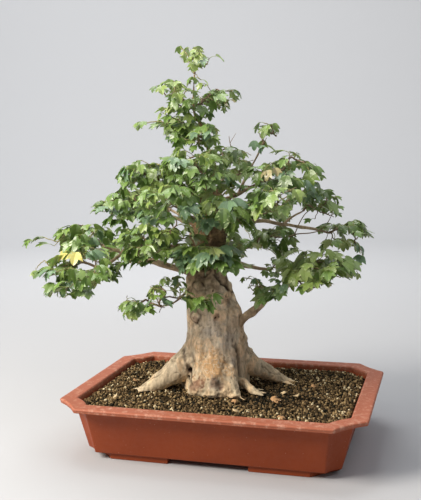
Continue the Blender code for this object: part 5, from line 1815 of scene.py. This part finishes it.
# %% Grow every mass
def grow_mass(mass, canopy, rng):
    """A mass's twigs and leaves."""
    tips = spread_tips(mass, max(2, round(TIPS_PER_AREA * mass.half**2)), rng)
    seen = tufts_of(mass)
    if mass.name in REACH:
        seen.append(tree_place(*REACH[mass.name]))
    tips += seen
    twigs = Twigs(mass)
    for tip in sorted(tips, key=lambda point: (point - mass.seat).length):
        twigs.grow(tip, rng, TUFT_BEND if tip in seen else BEND)
    for chain in twigs.chains:
        path = [twigs.points[i] for i in chain]
        radii = [twigs.thickness(i) for i in chain]
        radii[0] = radii[1]
        thick = max(radii) > THICK_TWIG
        hung = canopy.dress_twig(path, mass, rng, path[-1] in seen)
        bears = max(twigs.load[i] for i in chain[1:]) > 1
        if hung or bears or path[-1] not in seen:
            canopy.twigs.add_tube(path, radii, 6 if thick else 5, 0 if thick else 1)
            canopy.wood += path


canopy = Canopy()
for number, mass in enumerate(masses):
    before = canopy.count
    grow_mass(mass, canopy, random.Random(SEED + number * 17))
    print(mass.name, canopy.count - before, end="; ")
print("leaves", canopy.count)
for mass in masses:
    canopy.wood += mass.path
gaps = [add_bare_twig(row, canopy) for row in BARE_TWIGS]
print("bare twigs", len(gaps), "start within", round(max(gaps), 1), "pixels of the photograph's")

# %% [markdown]
# All the leaves are one mesh, as thousands of objects would be slow, and so are the stalks and the
# twigs. The leaves are shaded flat, because the edges between their faces then read as veins.

# %% Foliage pieces
leaf_piece = canopy.leaves.piece("maple_leaves", leaf_tints, smooth=False)
stalk_piece = canopy.stalks.piece("leaf_stalks", [twig_tints[2]])
twig_piece = canopy.twigs.piece("maple_twigs", twig_tints[:2])
for piece in (leaf_piece, stalk_piece, twig_piece):
    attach(piece, "root")
    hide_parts(*["foliage_" + mass.name for mass in masses])
    print(piece.name, triangles(piece), "triangles")

# %% [markdown]
# ## Soil
# Bonsai soil is baked clay granules of a few millimetres. A bumpy surface would look like mud, so they
# are strewn one by one: on a close grid, some with a second one on top, each a small lumpy ball of its
# own size and turn. Granules to the right of the trunk are painted almost black, as the trunk's painted
# shadow; the others are brown, tan or buff.

# %% Granules
GRANULE_MM = (3.2, 6.8)
GRANULE_STEP = 4.15 * MM
GRANULE_SINK = (-2.4, -0.9)
GRANULE_CLEAR = 0.15  # the gap to the trunk, as a share of a granule's size
GRANULE_LUMPS = (0.80, 1.14)
GRANULE_SIDES = ((0.8, 1.2), (0.7, 1.1), (0.6, 0.95))
LOOSE_SHARE, LOOSE_SIZE, LOOSE_RISE = 0.50, 0.85, 2.2
GRID_STRAY = (0.05, 0.95)
SOIL_INSET = 27.5 * MM
GRANULE_TINTS = {"soil_black": "#1A180F", "soil_umber": "#3B2F1C", "soil_brown": "#695539",
                 "soil_tan": "#947D57", "soil_buff": "#CFBF9A"}
# Up to which draw a granule has each tint; those above are buff
TINT_LIMITS = ((0.10, "soil_black"), (0.40, "soil_umber"), (0.77, "soil_brown"), (0.955, "soil_tan"))
# Where the trunk's painted shadow darkens the granules: its middle (right, away), reach and strength
TRUNK_SHADOW_SPOT, TRUNK_SHADOW_REACH, TRUNK_SHADOW_COUNTS = (0.085, -0.060), 75 * MM, 0.55
DRIFT_MM, DRIFT_COUNTS = 30, 0.12


def ball_template():
    """The points and faces of a coarse ball."""
    shape = bmesh.new()
    bmesh.ops.create_icosphere(shape, subdivisions=1, radius=1.0)
    points = [v.co.copy() for v in shape.verts]
    faces = [tuple(v.index for v in face.verts) for face in shape.faces]
    shape.free()
    return points, faces


BALL_POINTS, BALL_FACES = ball_template()


def in_pot(x, y, inset):
    """Whether a place is inside the pot's outline, moved in by an inset."""
    half_x = POT_LENGTH / 2 - inset
    half_y = POT_WIDTH / 2 - inset
    cut = (CUT_X + CUT_Y) / 2 - inset * CUT_SHRINK + COVE * 2
    return abs(x) < half_x and abs(y) < half_y and abs(x) + abs(y) < half_x + half_y - cut


def granule_tint(point, rng):
    """A granule's colour: by chance, darker in the trunk's painted shadow, and drifting a little."""
    shadowed = max(0.0, 1 - (point - tree_place(*TRUNK_SHADOW_SPOT, 0)).length / TRUNK_SHADOW_REACH)
    draw = rng.random() - TRUNK_SHADOW_COUNTS * shadowed + DRIFT_COUNTS * noise.noise(point / (DRIFT_MM * MM))
    for limit, name in TINT_LIMITS:
        if draw < limit:
            return name
    return "soil_buff"


def add_granule(heap, point, size, rng):
    turn = Matrix.Rotation(rng.uniform(0, math.pi), 3, (rng.random(), rng.random(), rng.random() + 0.1))
    stretch = Vector(rng.uniform(*side) for side in GRANULE_SIDES) * size / 2
    points = []
    for corner in BALL_POINTS:
        lump = rng.uniform(*GRANULE_LUMPS)
        points.append(point + turn @ (corner * stretch) * lump)
    heap.add(points, BALL_FACES, list(GRANULE_TINTS).index(granule_tint(point, rng)))


def strew(heap, rng):
    """Lays granules on the solid soil's top, off the pot's walls and off the trunk."""
    step = GRANULE_STEP
    for i in range(int(POT_LENGTH / step)):
        for j in range(int(POT_WIDTH / step)):
            x = (i + rng.uniform(*GRID_STRAY)) * step - POT_LENGTH / 2
            y = (j + rng.uniform(*GRID_STRAY)) * step - POT_WIDTH / 2
            size = rng.uniform(*GRANULE_MM) * MM
            if not in_pot(x, y, SOIL_INSET + size / 2):
                continue
            above = POT_MIDDLE + Vector((x, y, POT_HEIGHT + WALL))
            point = soil_shape.ray_cast(above, -UP)[0] + UP * rng.uniform(*GRANULE_SINK) * MM
            near, normal, _, gap = trunk_shape.find_nearest(point)
            if gap < size * GRANULE_CLEAR or (point - near).dot(normal) < 0:
                continue
            add_granule(heap, point, size, rng)
            if rng.random() < LOOSE_SHARE:
                add_granule(heap, point + UP * LOOSE_RISE * MM, size * LOOSE_SIZE, rng)


soil_node = frame["nodes"]["soil"]
soil_shape = BVHTree.FromObject(soil_node, bpy.context.evaluated_depsgraph_get())
soil_tints = [new_material(*tint, 0.9, Specular_IOR_Level=0.2) for tint in GRANULE_TINTS.items()]
granules = Heap()
strew(granules, random.Random(SEED))
granule_piece = granules.piece("soil_granules", soil_tints)
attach(granule_piece, "root")
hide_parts("soil")
print("granules", len(granules.faces) // len(BALL_FACES), "triangles", triangles(granule_piece))

# %% [markdown]
# Under the granules lies a bed that shows only as a dark floor between them. It has the solid soil's
# own shape, with its top sunk by half a granule, and is painted near black as painted shade between
# the granules.

# %% Soil bed
# Painted shade for the floor between the granules
SOIL_GAP_SHADE = "#241D14"
SOIL_CRUMB_MM = 3
BED_SUNK = 2.6 * MM


def make_shaded_soil_bed():
    """Painted shade between the granules, in crumbs of two near-black browns."""
    made = new_material("painted_soil_shade", SOIL_GAP_SHADE, 0.95, Specular_IOR_Level=0.15)
    tree, shader, place = patterned(made)
    crumb = add(tree, "TexNoise", {"Vector": place, "Scale": per_mm(SOIL_CRUMB_MM), "Detail": 4.0})
    tone = add(tree, "Mix", {0: crumb.outputs["Fac"], 6: colour(GRANULE_TINTS["soil_black"]),
                             7: colour(GRANULE_TINTS["soil_umber"])}, data_type="RGBA")
    tree.links.new(tone.outputs[2], shader.inputs["Base Color"])
    bump = add(tree, "Bump", {"Height": crumb.outputs["Fac"], "Strength": 0.8, "Distance": 1.0 * MM})
    tree.links.new(bump.outputs["Normal"], shader.inputs["Normal"])
    return made


def sink_bed(material):
    """The solid soil's shape with its top sunk."""
    points = [soil_node.matrix_world @ v.co for v in soil_node.data.vertices]
    points = [p - UP * BED_SUNK if p.z > GROUND - 2 * WALL else p for p in points]
    faces = [tuple(face.vertices) for face in soil_node.data.polygons]
    return new_piece("soil_bed", points, faces, [material], smooth=False)


bed_piece = sink_bed(make_shaded_soil_bed())
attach(bed_piece, "root")
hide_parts("soil")
print("soil bed", triangles(bed_piece), "triangles")

# %% [markdown]
# A few small fallen leaves lie on the soil, dry and curled. They are the same blade as the green
# ones, with more cup and a set droop.

# %% Fallen leaves
# Each row: right, away, length in mm and the way it points, in radians
FALLEN = ((0.082, -0.097, 17, 0.3), (0.124, -0.084, 14, 2.1), (0.032, -0.096, 10, 4.0),
          (0.026, -0.149, 14, 1.2), (0.091, -0.171, 13, 5.1), (0.109, -0.062, 10, 3.3),
          (-0.132, 0.016, 9, 0.9), (-0.150, -0.070, 9, 2.6), (0.150, -0.030, 9, 0.2))
DRY_TINTS = {"dry_leaf": "#B98F62", "dry_leaf_pale": "#CDB48A"}
DRY_DROOP, DRY_CUP = 0.6, 0.7
DRY_RISE = 4.5 * MM
dry_tints = [new_material(name, code, 0.75) for name, code in DRY_TINTS.items()]


def lay_leaves(rng):
    """The fallen leaves, tipped towards the front."""
    heap = Heap()
    for number, (right, away, length, turn) in enumerate(FALLEN):
        root = tree_place(right, away, DRY_RISE)
        tipped = Vector((rng.uniform(-0.3, 0.3), rng.uniform(-0.3, 0.3), 1)) - AWAY * 0.6
        pose = Pose(root, Vector((math.cos(turn), math.sin(turn), 0.12)), tipped, length * MM, rng)
        pose.droop = DRY_DROOP
        pose.cup = DRY_CUP
        heap.add(pose.blade(), UPPER_FACES + LOWER_FACES, number % 2)
    return heap.piece("fallen_leaves", dry_tints)


fallen_piece = lay_leaves(random.Random(SEED))
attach(fallen_piece, "root")
print("fallen leaves", len(FALLEN))

# %% [markdown]
# ## Studio
# A pale floor runs up into a pale wall. One large soft light comes from the upper left, as the
# photograph's does, and a weaker one high in front on the right opens the shadows. A third lights the
# crown from above and behind, and a fourth only the wall. A plain pale world fills in the rest.

# %% Studio
FLOOR_COLOUR = "#B1B2B4"
FLOOR_START, FLOOR_RADIUS = 0.6, 2.6
SWEEP = 1.4
SWEEP_STEPS = 16
WALL_TOP = 3.6
BOWL_SIDES = 96
MIDDLE = tree_place(0, 0, 0.2)
WALL_SPOT = tree_place(0.1, 4.2, 1.0)
# Each row: name, its place (right, away, up), its width, its power, its colour and where it points
LIGHTS = (
    ("key", (-1.46, -0.69, 1.25), 1.0, 65, "#FFF8EE", MIDDLE),
    ("fill", (1.1, -0.9, 1.9), 1.4, 9, "#F6F8FF", MIDDLE),
    ("top", (-0.3, 0.6, 2.2), 1.4, 26, "#FFFFFF", MIDDLE),
    ("backdrop", (-0.4, 1.6, 2.3), 2.4, 84, "#FFFFFF", WALL_SPOT),
)
WORLD_COLOUR, WORLD_STRENGTH = "#E6E8EC", 0.5


def make_floor(material):
    """A round floor that curves up into a wall all the way round, so that no edge shows."""
    profile = [(FLOOR_START, 0.0), (FLOOR_RADIUS, 0.0)]
    for k in range(1, SWEEP_STEPS + 1):
        angle = math.pi / 2 * k / SWEEP_STEPS
        profile.append((FLOOR_RADIUS + SWEEP * math.sin(angle), SWEEP * (1 - math.cos(angle))))
    profile.append((FLOOR_RADIUS + SWEEP, WALL_TOP))
    turns = [2 * math.pi * k / BOWL_SIDES for k in range(BOWL_SIDES)]
    points = [Vector((reach * math.cos(a), reach * math.sin(a), up))
              for reach, up in profile for a in turns]
    faces = [tuple(range(BOWL_SIDES))]
    for row in range(len(profile) - 1):
        for i in range(BOWL_SIDES):
            j = (i + 1) % BOWL_SIDES
            low = row * BOWL_SIDES
            faces.append((low + j, low + i, low + BOWL_SIDES + i, low + BOWL_SIDES + j))
    floor = new_piece("studio_floor", points, faces, [material])


def add_light(name, place, size, power, tint, target):
    """A round soft light that isn't seen itself."""
    lamp = bpy.data.lights.new(name, "AREA")
    lamp.shape = "DISK"
    lamp.size = size
    lamp.energy = power
    lamp.color = colour(tint)[:3]
    light = bpy.data.objects.new(name, lamp)
    light.location = place
    light.visible_camera = False
    light.rotation_euler = (target - place).to_track_quat("-Z", "Y").to_euler()
    bpy.context.scene.collection.objects.link(light)


make_floor(new_material("studio_paper", FLOOR_COLOUR, 0.9, Specular_IOR_Level=0.1))
for name, place, *rest in LIGHTS:
    add_light(name, tree_place(*place), *rest)
world = bpy.data.worlds.new("studio")
world.use_nodes = True
background = world.node_tree.nodes["Background"]
background.inputs["Color"].default_value = colour(WORLD_COLOUR)
background.inputs["Strength"].default_value = WORLD_STRENGTH
bpy.context.scene.world = world
bpy.context.scene.view_settings.view_transform = "Standard"
print("lights", len(LIGHTS))
